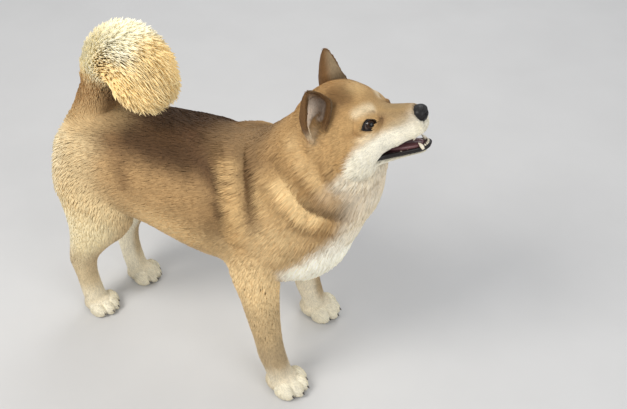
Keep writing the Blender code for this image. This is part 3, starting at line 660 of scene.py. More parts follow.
def level_at(curve, values):
    """The second number of a curve of pairs, at values of its first."""
    curve = np.array(sorted(curve))
    return np.interp(values, curve[:, 0], curve[:, 1])


def gap_of_mouth(places, over):
    """Where a place lies in the open mouth, grown by a margin."""
    x, y, z = places.T
    top = level_at([mouth_corner, *upper_lip], x) + over
    low = level_at([mouth_corner, *lower_lip], x) - over
    between = (x > mouth_corner[0] - over) & (z < top) & (z > low)
    for centre, sizes in mouth_hollows:
        away = (places - centre) / (np.array(sizes) + over)
        between |= (away**2).sum(1) < 1
    return between


def slit_place(places):
    """How far a place is from the middle of the nearer eye's slit: 1 at the lids' edges."""
    rel = on_side(places, 1) - eye_at
    a, b, c = rel @ eye_along, rel @ eye_up, rel @ eye_out
    almond = (a / slit_half) ** 2 + np.abs(b) / np.where(b > 0, upper_lid, lower_lid)
    return np.where(c > 0, almond, 99.0)


lip_skin, rim_reach = 0.0078, 1.40  # how deep the bare lower lip is, and how far the black lids reach
in_mouth = gap_of_mouth(face_places, 0.0009) & (head_part > 0.5)
flews = level_at([mouth_corner, *lower_lip], face_places[:, 0]) - face_places[:, 2]
flews = (flews > 0) & (flews < lip_skin) & (face_places[:, 0] > mouth_corner[0] - 0.002) & (head_part > 0.5)
lid_skin = slit_place(face_places) < rim_reach
nose_at, nose_sizes = np.array((0.0905, 0.0, -0.0035)), np.array((0.0110, 0.0135, 0.0115))
nose_skin = np.linalg.norm((face_places - nose_at) / (nose_sizes + 0.0010), axis=1) < 1.0
sole = (points[:, 2] < 0.006) & (skin_normals[:, 2] < -0.5)
bare = in_mouth | flews | lid_skin | nose_skin | sole


class Painting:
    """The coat's colours at some places of the hide, laid one over another, the same on both sides."""

    def __init__(self, places, ground):
        self.x, self.y, self.z = places.T
        self.right = on_side(places, -1)
        self.face = on_side(in_head(places), -1)
        self.normals = skin_normals
        self.inwards = -skin_normals[:, 1] * np.sign(self.y)
        self.colour = np.tile(ground, (len(places), 1))

    def lay(self, share, tint):
        share = np.clip(share, 0, 1)[:, None]
        self.colour = self.colour * (1 - share) + np.array(tint) * share

    def spots(self, part, places, *rows):
        """Soft spots on one part, each by its centre, reach, strength and tint."""
        for centre, reach, strength, tint in rows:
            self.lay(part * near(places, centre, reach) * strength, tint)

    def bands(self, part, places, *rows):
        """Soft bands on one part, each by its path, reach, strength and tint."""
        for path, reach, strength, tint in rows:
            self.lay(part * stroke(places, path, reach) * strength, tint)


body_part = part_of["trunk"] + part_of["neck"]


def paint_trunk(coat):
    """A sable saddle along the top, a gold flank, cream behind the rump and below, and painted shade behind
    the shoulder and along the crease before the thigh.
    """
    x, z, trunk = coat.x, coat.z, part_of["trunk"]
    coat.lay(body_part * ramp(z, 0.337, 0.370) * ramp(-x, -0.110, -0.075) * 0.9, (0.140, 0.076, 0.032))
    edge = level_at(((-0.26, 0.380), (-0.183, 0.368), (-0.127, 0.360), (-0.06, 0.356), (0.05, 0.362)), x)
    saddle = ramp(z, edge - 0.006, edge + 0.016) * ramp(-x, -0.095, -0.055)
    coat.lay(body_part * saddle * 0.92, (0.072, 0.037, 0.016))
    coat.spots(
        body_part, coat.right,
        ((0.026, -0.050, 0.378), (0.024, 0.035, 0.014), 0.55, (0.27, 0.150, 0.062)),
        # painted shade behind the ridge of the shoulder
        ((0.034, -0.104, 0.285), (0.028, 0.040, 0.052), 0.98, (0.15, 0.080, 0.030)),
        ((-0.060, -0.100, 0.255), (0.085, 0.040, 0.036), 0.95, (0.70, 0.50, 0.25)),
    )
    below = ramp(-coat.normals[:, 2], 0.35, 0.85) * ramp(-z, -0.265, -0.215)
    coat.lay(body_part * below, (0.90, 0.81, 0.62))
    coat.lay(trunk * ramp(-x, 0.160, 0.225) * ramp(-z, -0.380, -0.345) * 0.85, (0.76, 0.61, 0.36))
    coat.lay(trunk * ramp(-x, 0.225, 0.268) * ramp(-z, -0.385, -0.340), (0.84, 0.80, 0.60))
    # The groove is a dark band of painted shade along the crease from the tail's root down before the thigh.
    groove = (
        (-0.178, -0.034, 0.384), (-0.170, -0.047, 0.376), (-0.150, -0.066, 0.362), (-0.134, -0.081, 0.345),
        (-0.126, -0.088, 0.318),
    )
    coat.bands(body_part + part_of["hindleg"], coat.right, (groove, 0.014, 0.75, (0.20, 0.110, 0.046)))


def paint_hindlegs(coat):
    """Gold thighs, cream behind and below, tan along the front edge."""
    z, ahead, leg = coat.z, coat.normals[:, 0], part_of["hindleg"]
    for share, tint in (
        (1.0, (0.77, 0.60, 0.335)),
        (ramp(-z, -0.27, -0.20) * 0.8, (0.90, 0.78, 0.50)),
        (ramp(-ahead, 0.1, 0.8) * 0.8, (0.88, 0.82, 0.63)),
        (ramp(ahead, 0.15, 0.8) * ramp(z, 0.05, 0.12) * 0.75, (0.52, 0.36, 0.18)),
        (ramp(-z, -0.170, -0.110) * 0.7, (0.56, 0.43, 0.26)),
        (ramp(coat.inwards, 0.2, 0.8) * 0.8, (0.90, 0.85, 0.70)),
        (ramp(-z, -0.070, -0.035) * 0.7, (0.84, 0.77, 0.60)),
    ):
        coat.lay(leg * share, tint)


def paint_forelegs(coat):
    """Gold above, darker tan lower down, partly as painted shade, cream inside and behind, and pale paws."""
    z, ahead, leg = coat.z, coat.normals[:, 0], part_of["foreleg"]
    for share, tint in (
        (1.0, (0.80, 0.59, 0.31)),
        # darker tan towards the bottom, partly painted shade
        (ramp(-z, -0.20, -0.14) * 0.8, (0.52, 0.375, 0.20)),
        (ramp(-z, -0.12, -0.07) * 0.7, (0.40, 0.30, 0.18)),
        (ramp(coat.inwards, 0.1, 0.8) * 0.8, (0.90, 0.82, 0.64)),
        (ramp(-ahead, 0.2, 0.9) * 0.6, (0.80, 0.68, 0.46)),
        (ramp(-z, -0.055, -0.030) * 0.8, (0.84, 0.77, 0.60)),
    ):
        coat.lay(leg * share, tint)
    coat.lay(part_of["paw"], (0.84, 0.78, 0.62))


def paint_neck(coat):
    """Painted shade in the folds and painted highlight on their ridges where the neck turns over the
    shoulder, the gold and sable patches there, and the cream throat and chest.
    """
    x, z, neck = coat.x, coat.z, part_of["neck"]
    coat.lay(neck * ramp(x, 0.075, 0.110) * 0.85, (0.43, 0.262, 0.108))
    coat.spots(
        body_part, coat.right,
        ((0.056, -0.015, 0.402), (0.036, 0.040, 0.020), 0.70, (0.12, 0.066, 0.030)),
        ((0.085, -0.045, 0.408), (0.026, 0.040, 0.022), 0.60, (0.30, 0.175, 0.072)),
        ((0.096, -0.088, 0.362), (0.022, 0.030, 0.026), 0.75, (0.66, 0.445, 0.205)),
        ((0.118, -0.100, 0.285), (0.050, 0.060, 0.060), 0.90, (0.70, 0.505, 0.260)),
    )
    coat.bands(
        body_part, coat.right,
        # painted shade in the fold along the shoulder's edge
        (((-0.045, -0.020, 0.388), (-0.020, -0.048, 0.382), (0.008, -0.070, 0.368), (0.034, -0.088, 0.350),
          (0.044, -0.100, 0.325)), 0.013, 0.90, (0.085, 0.042, 0.019)),
        # painted highlight along the raised ridge of the shoulder
        (((0.038, -0.060, 0.374), (0.048, -0.078, 0.362), (0.060, -0.098, 0.330), (0.068, -0.104, 0.262)),
         0.013, 0.95, (0.62, 0.41, 0.185)),
        # painted shade in a fold over the shoulder
        (((0.045, -0.020, 0.408), (0.052, -0.040, 0.402), (0.075, -0.078, 0.372), (0.088, -0.100, 0.318)),
         0.012, 0.95, (0.11, 0.054, 0.020)),
        # painted shade in the fold across the side of the neck
        (((0.100, -0.061, 0.411), (0.131, -0.079, 0.393), (0.153, -0.084, 0.375), (0.170, -0.082, 0.359)),
         0.0085, 0.95, (0.12, 0.066, 0.027)),
        # painted highlight along the raised ridge on the neck
        (((0.123, -0.043, 0.439), (0.139, -0.059, 0.424), (0.160, -0.067, 0.411), (0.180, -0.070, 0.392)),
         0.009, 0.90, (0.74, 0.53, 0.27)),
        (((0.122, -0.084, 0.384), (0.148, -0.088, 0.360), (0.176, -0.081, 0.341)),
         0.014, 0.92, (0.92, 0.68, 0.35)),
        # painted shade in a fold high on the neck
        (((0.157, -0.054, 0.434), (0.174, -0.060, 0.418), (0.193, -0.060, 0.400), (0.206, -0.056, 0.385)),
         0.007, 0.85, (0.17, 0.098, 0.042)),
        # painted highlight along the lip of the fold high on the neck
        (((0.166, -0.064, 0.430), (0.184, -0.066, 0.409), (0.196, -0.064, 0.394)),
         0.006, 0.80, (0.74, 0.56, 0.30)),
        # painted shade in the fold under the ruff
        (((0.168, -0.080, 0.362), (0.190, -0.073, 0.355), (0.210, -0.056, 0.345), (0.214, -0.050, 0.366)),
         0.012, 0.85, (0.16, 0.094, 0.040)),
    )
    coat.lay(neck * ramp(coat.normals[:, 2], 0.45, 0.9) * 0.6, (0.40, 0.26, 0.125))
    edge = level_at(
        ((0.236, 0.130), (0.262, 0.160), (0.300, 0.198), (0.340, 0.216), (0.38, 0.219), (0.41, 0.222)), z
    )
    chest = body_part * (ramp(x, edge - 0.022, edge + 0.010) * ramp(-z, -0.45, -0.41))
    coat.lay(chest * 0.92, (0.90, 0.82, 0.66))
    coat.lay(chest * ramp(-z, -0.30, -0.25) * 0.95, (1.0, 0.97, 0.84))
    coat.lay(chest * ramp(z, 0.355, 0.385) * 0.9, (0.98, 0.93, 0.80))


def paint_face(coat):
    """A sable crown, tan bridge, cream cheeks and muzzle sides, brow spots, and painted shade along a fold
    over each eye and in the hollow before it.
    """
    hx, _, hz = coat.face.T
    coat.lay(head_part, (0.50, 0.315, 0.135))
    coat.lay(head_part * ramp(hz, 0.012, 0.045) * ramp(-hx, -0.045, 0.010) * 0.75, (0.40, 0.235, 0.095))
    crown = ((-0.014, -0.044, 0.050), (-0.003, -0.026, 0.061), (0.010, -0.021, 0.056))
    coat.bands(head_part, coat.face, (crown, 0.018, 0.9, (0.17, 0.090, 0.033)))
    coat.spots(head_part, coat.face, ((0.024, -0.003, 0.052), (0.018, 0.012, 0.012), 0.7, (0.58, 0.41, 0.20)))
    edge = level_at(
        ((-0.09, -0.050), (-0.011, -0.034), (-0.007, -0.023), (0.009, -0.009), (0.028, -0.006),
         (0.051, -0.004), (0.069, 0.000), (0.084, 0.0050)), hx
    )
    coat.lay(head_part * ramp(-hz, -edge - 0.008, -edge + 0.008), (0.88, 0.83, 0.69))
    bridge_edge = ((0.046, -0.016, 0.013), (0.063, -0.014, 0.009), (0.077, -0.014, 0.005))
    brow = ((0.036, -0.018, 0.0255), (0.029, -0.024, 0.0285), (0.020, -0.030, 0.0285))
    fold = ((0.037, -0.0190, 0.0195), (0.031, -0.0270, 0.0205), (0.022, -0.0340, 0.0185))
    coat.spots(head_part, coat.face, ((0.064, 0, 0.015), (0.034, 0.016, 0.016), 0.95, (0.31, 0.215, 0.105)))
    coat.bands(head_part, coat.face, (bridge_edge, 0.0055, 0.7, (0.27, 0.185, 0.092)))
    coat.spots(head_part, coat.face, ((0.066, -0.020, 0), (0.024, 0.009, 0.007), 0.85, (0.38, 0.285, 0.165)))
    coat.bands(
        head_part, coat.face,
        (brow, 0.0078, 0.65, (0.84, 0.72, 0.50)),
        # painted shade along the fold under the brow, over each eye
        (fold, 0.0030, 0.65, (0.20, 0.118, 0.052)),
    )
    coat.spots(
        head_part, coat.face,
        ((0.027, -0.042, -0.001), (0.015, 0.010, 0.0050), 0.80, (0.86, 0.74, 0.52)),
        ((0.012, -0.049, 0.010), (0.012, 0.010, 0.006), 0.55, (0.34, 0.185, 0.07)),
        # darker hair at the eye's inner corner, with painted shade in the hollow before the eye
        ((0.045, -0.019, 0.008), (0.007, 0.007, 0.005), 0.70, (0.24, 0.13, 0.06)),
        ((0.088, -0.008, 0.004), (0.010, 0.014, 0.012), 0.45, (0.40, 0.33, 0.25)),
    )


def paint_ears(coat):
    """Rufous brown outside and along the rims, grey hair within over painted shade in the hollow, cream at
    the root.
    """
    hx, _, hz = coat.face.T
    ear = ramp(part_of["ear"], 0.40, 0.85)
    within = ear * ramp(part_of["hollow"], 0.35, 0.65) * ramp(hz, 0.004, 0.020)
    coat.lay(ear * ramp(hz, 0.018, 0.035), (0.17, 0.088, 0.034))
    # painted shade deep in the lower hollow of the ear
    coat.lay(within * ramp(-hz, -0.076, -0.064), (0.15, 0.10, 0.070))
    coat.spots(
        within, coat.face,
        ((-0.042, -0.056, 0.050), (0.022, 0.024, 0.028), 1.0, (1.0, 0.84, 0.68)),
        ((-0.040, -0.056, 0.024), (0.014, 0.016, 0.011), 1.0, (1.0, 0.84, 0.60)),
    )
    root = ((-0.041, -0.054, 0.024), (0.008, 0.012, 0.009), 0.9, (0.90, 0.76, 0.54))
    coat.spots(head_part, coat.face, root)
    medial = (ear - within) * ramp(coat.inwards, 0.1, 0.4) * ramp(hz, 0.020, 0.040)
    coat.lay(medial * ramp(hx, -0.032, -0.018) * 0.8, (0.27, 0.205, 0.125))


def paint_tail(coat):
    """A cream plume, nearly white on top and painted lighter up its rising arm as painted light, brown at the
    root, and dark within the curl, partly brown hair and partly painted shadow.
    """
    x, z, tail = coat.x, coat.z, part_of["tail"]
    for share, tint in (
        (1.0, (0.93, 0.75, 0.41)),
        (ramp(z, 0.486, 0.518) * ramp(-x, 0.105, 0.135), (0.97, 0.92, 0.74)),
        # cream, painted lighter up the rising arm as painted light where its tufts face away from the lamps
        (ramp(-x, 0.165, 0.190) * ramp(z, 0.440, 0.470), (0.95, 0.88, 0.66)),
        (ramp(-z, -0.462, -0.432) * ramp(-x, 0.128, 0.145), (0.52, 0.335, 0.155)),
    ):
        coat.lay(tail * share, tint)
    root = ((-0.215, 0, 0.382), (0.034, 0.040, 0.022), 0.85, (0.46, 0.29, 0.135))
    coat.spots(tail + part_of["trunk"], coat.right, root)
    # within the curl: partly the brown hair of the tail's upper side, partly painted shadow inside the curl
    inner = ((-0.180, -0.035, 0.385), (-0.166, -0.034, 0.425), (-0.148, -0.034, 0.440))
    coat.bands(tail, coat.right, (inner, 0.018, 0.85, (0.15, 0.078, 0.034)))
    coat.spots(tail, coat.right, ((-0.036, -0.030, 0.430), (0.018, 0.050, 0.040), 0.7, (0.34, 0.21, 0.10)))


def painted_at(places):
    """The whole coat's colours: each part is laid over the ones before."""
    coat = Painting(places, (0.42, 0.262, 0.118))
    for paint in (
        paint_trunk, paint_hindlegs, paint_forelegs, paint_neck, paint_face, paint_ears, paint_tail
    ):
        paint(coat)
    return coat.colour


# The tufts' length and rise follow the coat's depth; they are shortest where the hide turns into a crease
thinly = np.clip(depth, 0.001, 0.04)
lengths = 0.0028 + (3.0 - 0.6 * np.clip(head_part, 0, 1)) * thinly
lengths = np.where(part_of["tail"] > 0.5, 0.009 + 1.5 * thinly, lengths)
in_ear = (part_of["hollow"] > 0.5) & (face_places[:, 2] < 0.070)
lengths = np.where(in_ear, 0.0090, lengths)
rises = np.where(in_ear, 0.30, np.clip((0.84 + 0.30 * part_of["tail"]) * thinly / lengths, 0.12, 0.85))
broad_normals = skin_normals
for _ in range(24):
    broad_normals = averaged(broad_normals, links)
broad_normals /= np.linalg.norm(broad_normals, axis=1)[:, None]
turned_away = 1 - (broad_normals * skin_normals).sum(1)
lengths *= np.where(in_ear, 1, 1 - 0.55 * ramp(turned_away, 0.06, 0.30) * (part_of["paw"] < 0.5))
outer = points + skin_normals * depth[:, None]
colours = painted_at(outer + lie * (0.45 * lengths)[:, None])


class Wire:
    """A socket of a node tree. Python's operators on wires add the nodes that work them out."""

    def __init__(self, tree, socket=None):
        self.tree, self.socket = tree, socket

    def node(self, kind, values=(), out=0, stops=(), **settings):
        """Adds a node with its settings and its sockets' values or links, and gives one output."""
        made = self.tree.nodes.new(kind)
        for name, value in settings.items():
            setattr(made, name, value)
        for number, (place, tint) in enumerate(stops):
            stop = made.color_ramp.elements[number] if number < 2 else made.color_ramp.elements.new(place)
            stop.position, stop.color = place, (*tint, 1)
        for name, value in values.items() if isinstance(values, dict) else enumerate(values):
            if isinstance(value, Wire):
                self.tree.links.new(value.socket, made.inputs[name])
            elif value is not None:
                made.inputs[name].default_value = value
        return Wire(self.tree, made.outputs[out]) if len(made.outputs) else None

    def vector(self, operation, *values, out=0):
        return self.node("ShaderNodeVectorMath", values, out, operation=operation)

    def worked(self, operation, left, right):
        broad = [isinstance(one, tuple) or isinstance(one, Wire) and one.socket.type in ("VECTOR", "RGBA")
                 for one in (left, right)]
        if not any(broad):
            return self.node("ShaderNodeMath", (left, right), operation=operation)
        if operation == "MULTIPLY" and not all(broad):
            whole, part = (left, right) if broad[0] else (right, left)
            return self.node("ShaderNodeVectorMath", {0: whole, "Scale": part}, operation="SCALE")
        left, right = ((one,) * 3 if isinstance(one, (int, float)) else one for one in (left, right))
        return self.vector(operation, left, right)

    def __add__(self, other):
        return self.worked("ADD", self, other)

    def __radd__(self, other):
        return self.worked("ADD", other, self)

    def __sub__(self, other):
        return self.worked("SUBTRACT", self, other)

    def __rsub__(self, other):
        return self.worked("SUBTRACT", other, self)

    def __mul__(self, other):
        return self.worked("MULTIPLY", self, other)

    def __rmul__(self, other):
        return self.worked("MULTIPLY", other, self)

    def __truediv__(self, other):
        return self.worked("DIVIDE", self, other)

    def __rtruediv__(self, other):
        return self.worked("DIVIDE", other, self)

    def __pow__(self, other):
        return self.worked("POWER", self, other)

    def between(self, low, high, to_low=0.0, to_high=1.0):
        """The value eased from one range into another."""
        values = {"Value": self, "From Min": low, "From Max": high, "To Min": to_low, "To Max": to_high}
        return self.node("ShaderNodeMapRange", values, interpolation_type="SMOOTHSTEP")

    def mixed(self, first, second):
        """Two colours mixed by this share."""
        first, second = ((*one, 1) if isinstance(one, tuple) else one for one in (first, second))
        return self.node("ShaderNodeMix", {0: self, 6: first, 7: second}, 2, data_type="RGBA")


def finish_named(name, coat=0.0, coat_roughness=0.1, sheen=0.0, level=0.5):
    """A new material, a wire to start its nodes from, and what sets its shader's sockets."""
    made = bpy.data.materials.new(name)
    made.use_nodes = True
    shader = made.node_tree.nodes["Principled BSDF"]
    shader.inputs["Coat Weight"].default_value = coat
    shader.inputs["Coat Roughness"].default_value = coat_roughness
    shader.inputs["Sheen Weight"].default_value = sheen
    shader.inputs["Specular IOR Level"].default_value = level

    def drive(**sockets):
        for socket, value in sockets.items():
            target = shader.inputs[socket.replace("_", " ")]
            if isinstance(value, Wire):
                made.node_tree.links.new(value.socket, target)
            else:
                target.default_value = value

    return made, Wire(made.node_tree), drive


def store(mesh, name, kind, domain, values):
    """Writes one attribute of a mesh."""
    made = mesh.attributes.new(name, kind, domain)
    field = {"FLOAT_VECTOR": "vector", "FLOAT_COLOR": "color"}.get(kind, "value")
    made.data.foreach_set(field, np.ascontiguousarray(values, np.float32).ravel())


def with_alpha(tints):
    return np.concatenate((tints, np.ones((len(tints), 1))), 1)


hide_colours = painted_at(outer) * 0.9
for where, tint in (
    # The mouth's lining is dark, and painted darker still towards the back as painted shade.
    (in_mouth, (0.060, 0.024, 0.026)),
    (in_mouth & (face_places[:, 0] < 0.040), (0.045, 0.018, 0.019)),
    (flews & ~in_mouth, (0.010, 0.008, 0.008)),
    (lid_skin, (0.018, 0.013, 0.011)),
    (nose_skin, (0.02, 0.017, 0.017)),
    (sole, (0.10, 0.075, 0.065)),
):
    hide_colours[where] = tint
store(hide.data, "hide_colour", "FLOAT_COLOR", "POINT", with_alpha(hide_colours))
store(hide.data, "wet", "FLOAT", "POINT", in_mouth)
skin, start, drive = finish_named("short_haired_skin", sheen=0.03, level=0.2)
place = start.node("ShaderNodeTexCoord", out="Object")
fine_hair = start.node("ShaderNodeTexNoise", {"Vector": place, "Scale": 850.0, "Detail": 2.0})
mottle = start.node("ShaderNodeTexNoise", {"Vector": place, "Scale": 60.0, "Detail": 3.0})
painted = start.node("ShaderNodeAttribute", out="Color", attribute_name="hide_colour")
wet = start.node("ShaderNodeAttribute", out="Fac", attribute_name="wet")
drive(
    Base_Color=painted * (0.78 + 0.28 * fine_hair + 0.16 * mottle),
    Roughness=0.88 - 0.50 * wet,
    Normal=start.node("ShaderNodeBump", {"Height": fine_hair, "Strength": 0.5, "Distance": 0.0006}),
)
hide.data.materials.clear()
hide.data.materials.append(skin)


# The eyes. Each is a ball with a clear bulge over a dark brown iris, held by black-rimmed lids. The ball
# is turned about its line of sight, and the rim is a soft tube along the slit's edge.
iris_edge, pupil_edge, cornea_rise = math.radians(37), math.radians(17), 0.0009
eye_sides, lid_sides = 48, 84


def tube(path, radii, sides=10, closed=False, flat=1.0):
    """A round tube along a path; open ends are closed by a cap."""
    path = np.asarray(path, float)
    ahead = np.roll(path, -1, 0) - np.roll(path, 1, 0) if closed else np.gradient(path, axis=0)
    ahead /= np.linalg.norm(ahead, axis=1)[:, None]
    helper = np.cross(ahead, Z)
    helper[np.linalg.norm(helper, axis=1) < 0.2] = Y
    helper /= np.linalg.norm(helper, axis=1)[:, None]
    other = np.cross(helper, ahead)
    turn = np.arange(sides) * 2 * math.pi / sides
    radii = np.broadcast_to(radii, len(path))[:, None, None]
    points = path[:, None] + radii * (
        np.cos(turn)[None, :, None] * helper[:, None] + flat * np.sin(turn)[None, :, None] * other[:, None]
    )
    count = len(path)
    faces = [] if closed else [tuple(range(sides))[::-1], tuple(range((count - 1) * sides, count * sides))]
    for low in range(count if closed else count - 1):
        high = (low + 1) % count
        for i in range(sides):
            j = (i + 1) % sides
            faces.append((low * sides + i, low * sides + j, high * sides + j, high * sides + i))
    return points.reshape(-1, 3), faces


def shown(thing, material, slot, *nodes):
    """A finished piece rides on the still body and stands for its solids. Its slot is not used."""
    thing.data.materials.clear()
    thing.data.materials.append(material)
    thing.data.polygons.foreach_set("use_smooth", np.ones(len(thing.data.polygons), bool))
    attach(thing, "root")
    if nodes:
        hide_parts(*nodes)
    return thing


eye_finish, start, drive = finish_named("wet_brown_eye", coat=0.25, coat_roughness=0.03, level=0.2)
place = start.node("ShaderNodeTexCoord", out="Object")
turn_off = start.node("ShaderNodeAttribute", out="Fac", attribute_name="turn_off")
fibre = start.node("ShaderNodeTexNoise", {"Vector": place, "Scale": 1400.0, "Detail": 3.0})
iris = turn_off.node(
    "ShaderNodeValToRGB",
    {0: turn_off},
    stops=(
        (0.00, (0.003, 0.002, 0.002)),
        (pupil_edge / math.pi * 0.94, (0.003, 0.002, 0.002)),
        (pupil_edge / math.pi, (0.020, 0.009, 0.004)),
        (iris_edge / math.pi * 0.86, (0.034, 0.015, 0.006)),
        (iris_edge / math.pi, (0.008, 0.004, 0.003)),
        (iris_edge / math.pi * 1.25, (0.120, 0.085, 0.070)),
        (0.45, (0.200, 0.120, 0.100)),
    ),
)
drive(Base_Color=iris * (0.6 + 0.8 * fibre), Roughness=0.12 + 0.06 * fibre)

rim_finish, start, drive = finish_named("black_lid_rim", coat=0.1, coat_roughness=0.25, level=0.25)
place = start.node("ShaderNodeTexCoord", out="Object")
grain = start.node("ShaderNodeTexNoise", {"Vector": place, "Scale": 1500.0, "Detail": 2.0})
drive(
    Base_Color=grain.mixed((0.006, 0.005, 0.005), (0.016, 0.012, 0.012)),
    Roughness=0.34 + 0.2 * grain,
    Normal=start.node("ShaderNodeBump", {"Height": grain, "Strength": 0.4, "Distance": 0.0002}),
)

for side, hand in ((1, "left"), (-1, "right")):
    mirror = np.array((1, side, 1))
    sight = (eye_out + np.array((0.10, -0.02, 0.02))) * mirror
    sight /= np.linalg.norm(sight)
    across_sight = np.cross(sight, Z)
    across_sight /= np.linalg.norm(across_sight)
    over_sight = np.cross(across_sight, sight)
    polar = np.linspace(0, math.pi, 46)[1:-1]
    rings = []
    for angle in polar:
        rise = cornea_rise * max(0, 1 - (angle / iris_edge) ** 2) ** 1.5
        turn = np.arange(eye_sides)[:, None] * 2 * math.pi / eye_sides
        outwards = np.cos(turn) * across_sight + np.sin(turn) * over_sight
        ring = math.cos(angle) * sight + math.sin(angle) * outwards
        rings.append(from_head(eye_at * mirror + (eye_radius + rise) * ring))
    poles = from_head(eye_at * mirror + np.array(((eye_radius + cornea_rise) * sight, -eye_radius * sight)))
    points_of_eye = np.concatenate((*rings, poles))
    front = len(polar) * eye_sides
    rear, last_ring = front + 1, front - eye_sides
    faces = loft_faces(len(polar), eye_sides)[2:]
    faces += [(front, (i + 1) % eye_sides, i) for i in range(eye_sides)]
    faces += [(rear, last_ring + i, last_ring + (i + 1) % eye_sides) for i in range(eye_sides)]
    eye = piece("eyeball_" + hand, points_of_eye, faces)
    turned_off = np.concatenate((np.repeat(polar, eye_sides), (0, math.pi))) / math.pi
    store(eye.data, "turn_off", "FLOAT", "POINT", turned_off)
    shown(eye, eye_finish, "eye", "eye_" + hand)

    turn = np.linspace(0, 2 * math.pi, lid_sides, endpoint=False)
    a = slit_half * np.cos(turn) * 1.04
    b = np.where(turn < math.pi, upper_lid, -lower_lid) * np.sin(turn) ** 2 * 1.03
    rim = eye_at + eye_along * a[:, None] + eye_up * b[:, None] + eye_out * lid_depth(a, b, 0.0007)[:, None]
    thick = 0.00095 + 0.00035 * np.cos(turn) ** 4
    lids = piece("lid_rims_" + hand, *tube(from_head(rim * mirror), thick, 12, closed=True))
    shown(lids, rim_finish, "nose")


# The nose. Bare black leather, pebbled, with two comma nostrils that run out into side slits and a
# groove down the middle to the lip. One ball is pressed into shape in the head's frame.
points_of_nose, faces = ball(np.zeros(3), np.ones(3), cuts=6)
towards = points_of_nose.copy()
form = np.sign(towards) * np.abs(towards) ** np.array((0.92, 0.86, 0.90))
form[:, 0] *= np.where(form[:, 2] < 0, 1 - 0.10 * np.abs(form[:, 2]), 1 + 0.02 * form[:, 2])
form[:, 1] *= np.where(form[:, 2] < 0, 1 - 0.16 * np.abs(form[:, 2]) ** 1.5, 1.0)
placed = nose_at + form * nose_sizes
flat = on_side(placed, 1)
hole = near(flat, (0.1000, 0.0060, -0.0036), (0.0060, 0.0024, 0.0021))
wing = stroke(flat, ((0.0985, 0.0074, -0.0048), (0.0955, 0.0108, -0.0066), (0.0915, 0.0130, -0.0072)), 0.0012)
rim = near(flat, (0.1000, 0.0062, -0.0030), (0.0060, 0.0046, 0.0042)) - hole
middle = np.exp(-(placed[:, 1] / 0.0008) ** 2) * ramp(placed[:, 0], 0.088, 0.094)
middle *= ramp(-placed[:, 2], -0.0005, 0.003)
sunk = 0.0036 * hole + 0.0017 * wing - 0.0007 * np.clip(rim, 0, 1) + 0.0009 * middle
placed = placed - towards * sunk[:, None]
nose_finish, start, drive = finish_named("black_nose_leather", coat=0.15, coat_roughness=0.25, level=0.3)
place = start.node("ShaderNodeTexCoord", out="Object")
pebbles = start.node("ShaderNodeTexVoronoi", {"Vector": place, "Scale": 1150.0}, feature="DISTANCE_TO_EDGE")
cracks = pebbles.between(0.0, 0.22)
damp = start.node("ShaderNodeTexNoise", {"Vector": place, "Scale": 220.0, "Detail": 3.0})
drive(
    Base_Color=cracks.mixed((0.003, 0.003, 0.003), (0.013, 0.011, 0.011)),
    Roughness=0.36 + 0.28 * damp,
    Normal=start.node("ShaderNodeBump", {"Height": cracks, "Strength": 0.7, "Distance": 0.00025}),
)
shown(piece("nose_leather", from_head(placed), faces), nose_finish, "nose", "nose")


# The mouth. Black lips line both jaws, ivory teeth stand behind them and the tongue lies on the mouth's
# floor. The lips follow the edge where the hide turns into the mouth, found by rays onto the hide.
hide_tree = BVHTree.FromPolygons(
    [tuple(one) for one in face_places], [tuple(face.vertices) for face in hide.data.polygons]
)


def lip_path(lip, over):
    """Along one lip in the head's frame, from the right corner of the mouth round the front to the left."""
    half = []
    for x in np.arange(mouth_corner[0] + 0.0012, 0.070, 0.0024):
        z = float(level_at([mouth_corner, *lip], x)) + over
        hit = hide_tree.ray_cast(Vector((x, -0.10, z)), Vector((0, 1, 0)))[0]
        half.append(tuple(hit))
    middle = np.array((0.068, 0.0))
    for angle in np.radians(np.arange(-84, 1, 6.0)):
        way = np.array((math.cos(angle), math.sin(angle)))
        x = 0.085
        for _ in range(3):
            z = float(level_at([mouth_corner, *lip], x)) + over
            start_at = middle + way * 0.06
            hit = hide_tree.ray_cast(Vector((*start_at, z)), Vector((*-way, 0)))[0]
            if hit is None:
                break
            x = hit.x
        if hit is not None:
            half.append(tuple(hit))
    half = np.array(half)
    path = np.concatenate((half, half[::-1][1:] * (1, -1, 1)))
    for _ in range(3):  # evened
        path[1:-1] = 0.5 * path[1:-1] + 0.25 * (path[:-2] + path[2:])
    return path


lip_forms = []
for lip, over, thick in ((upper_lip, 0.0005, 0.0012), (lower_lip, -0.0016, 0.0027)):
    path = lip_path(lip, over)
    share = np.linspace(-1, 1, len(path))  # from corner to corner, 0 at the front
    radii = thick * (1 - 0.25 * np.exp(-(share / 0.25) ** 2) + 0.35 * share**8)
    lip_forms.append(tube(from_head(path * (0.992, 0.975, 1.0)), radii, 12))
shown(piece("lips", *joined(lip_forms)), rim_finish, "nose")

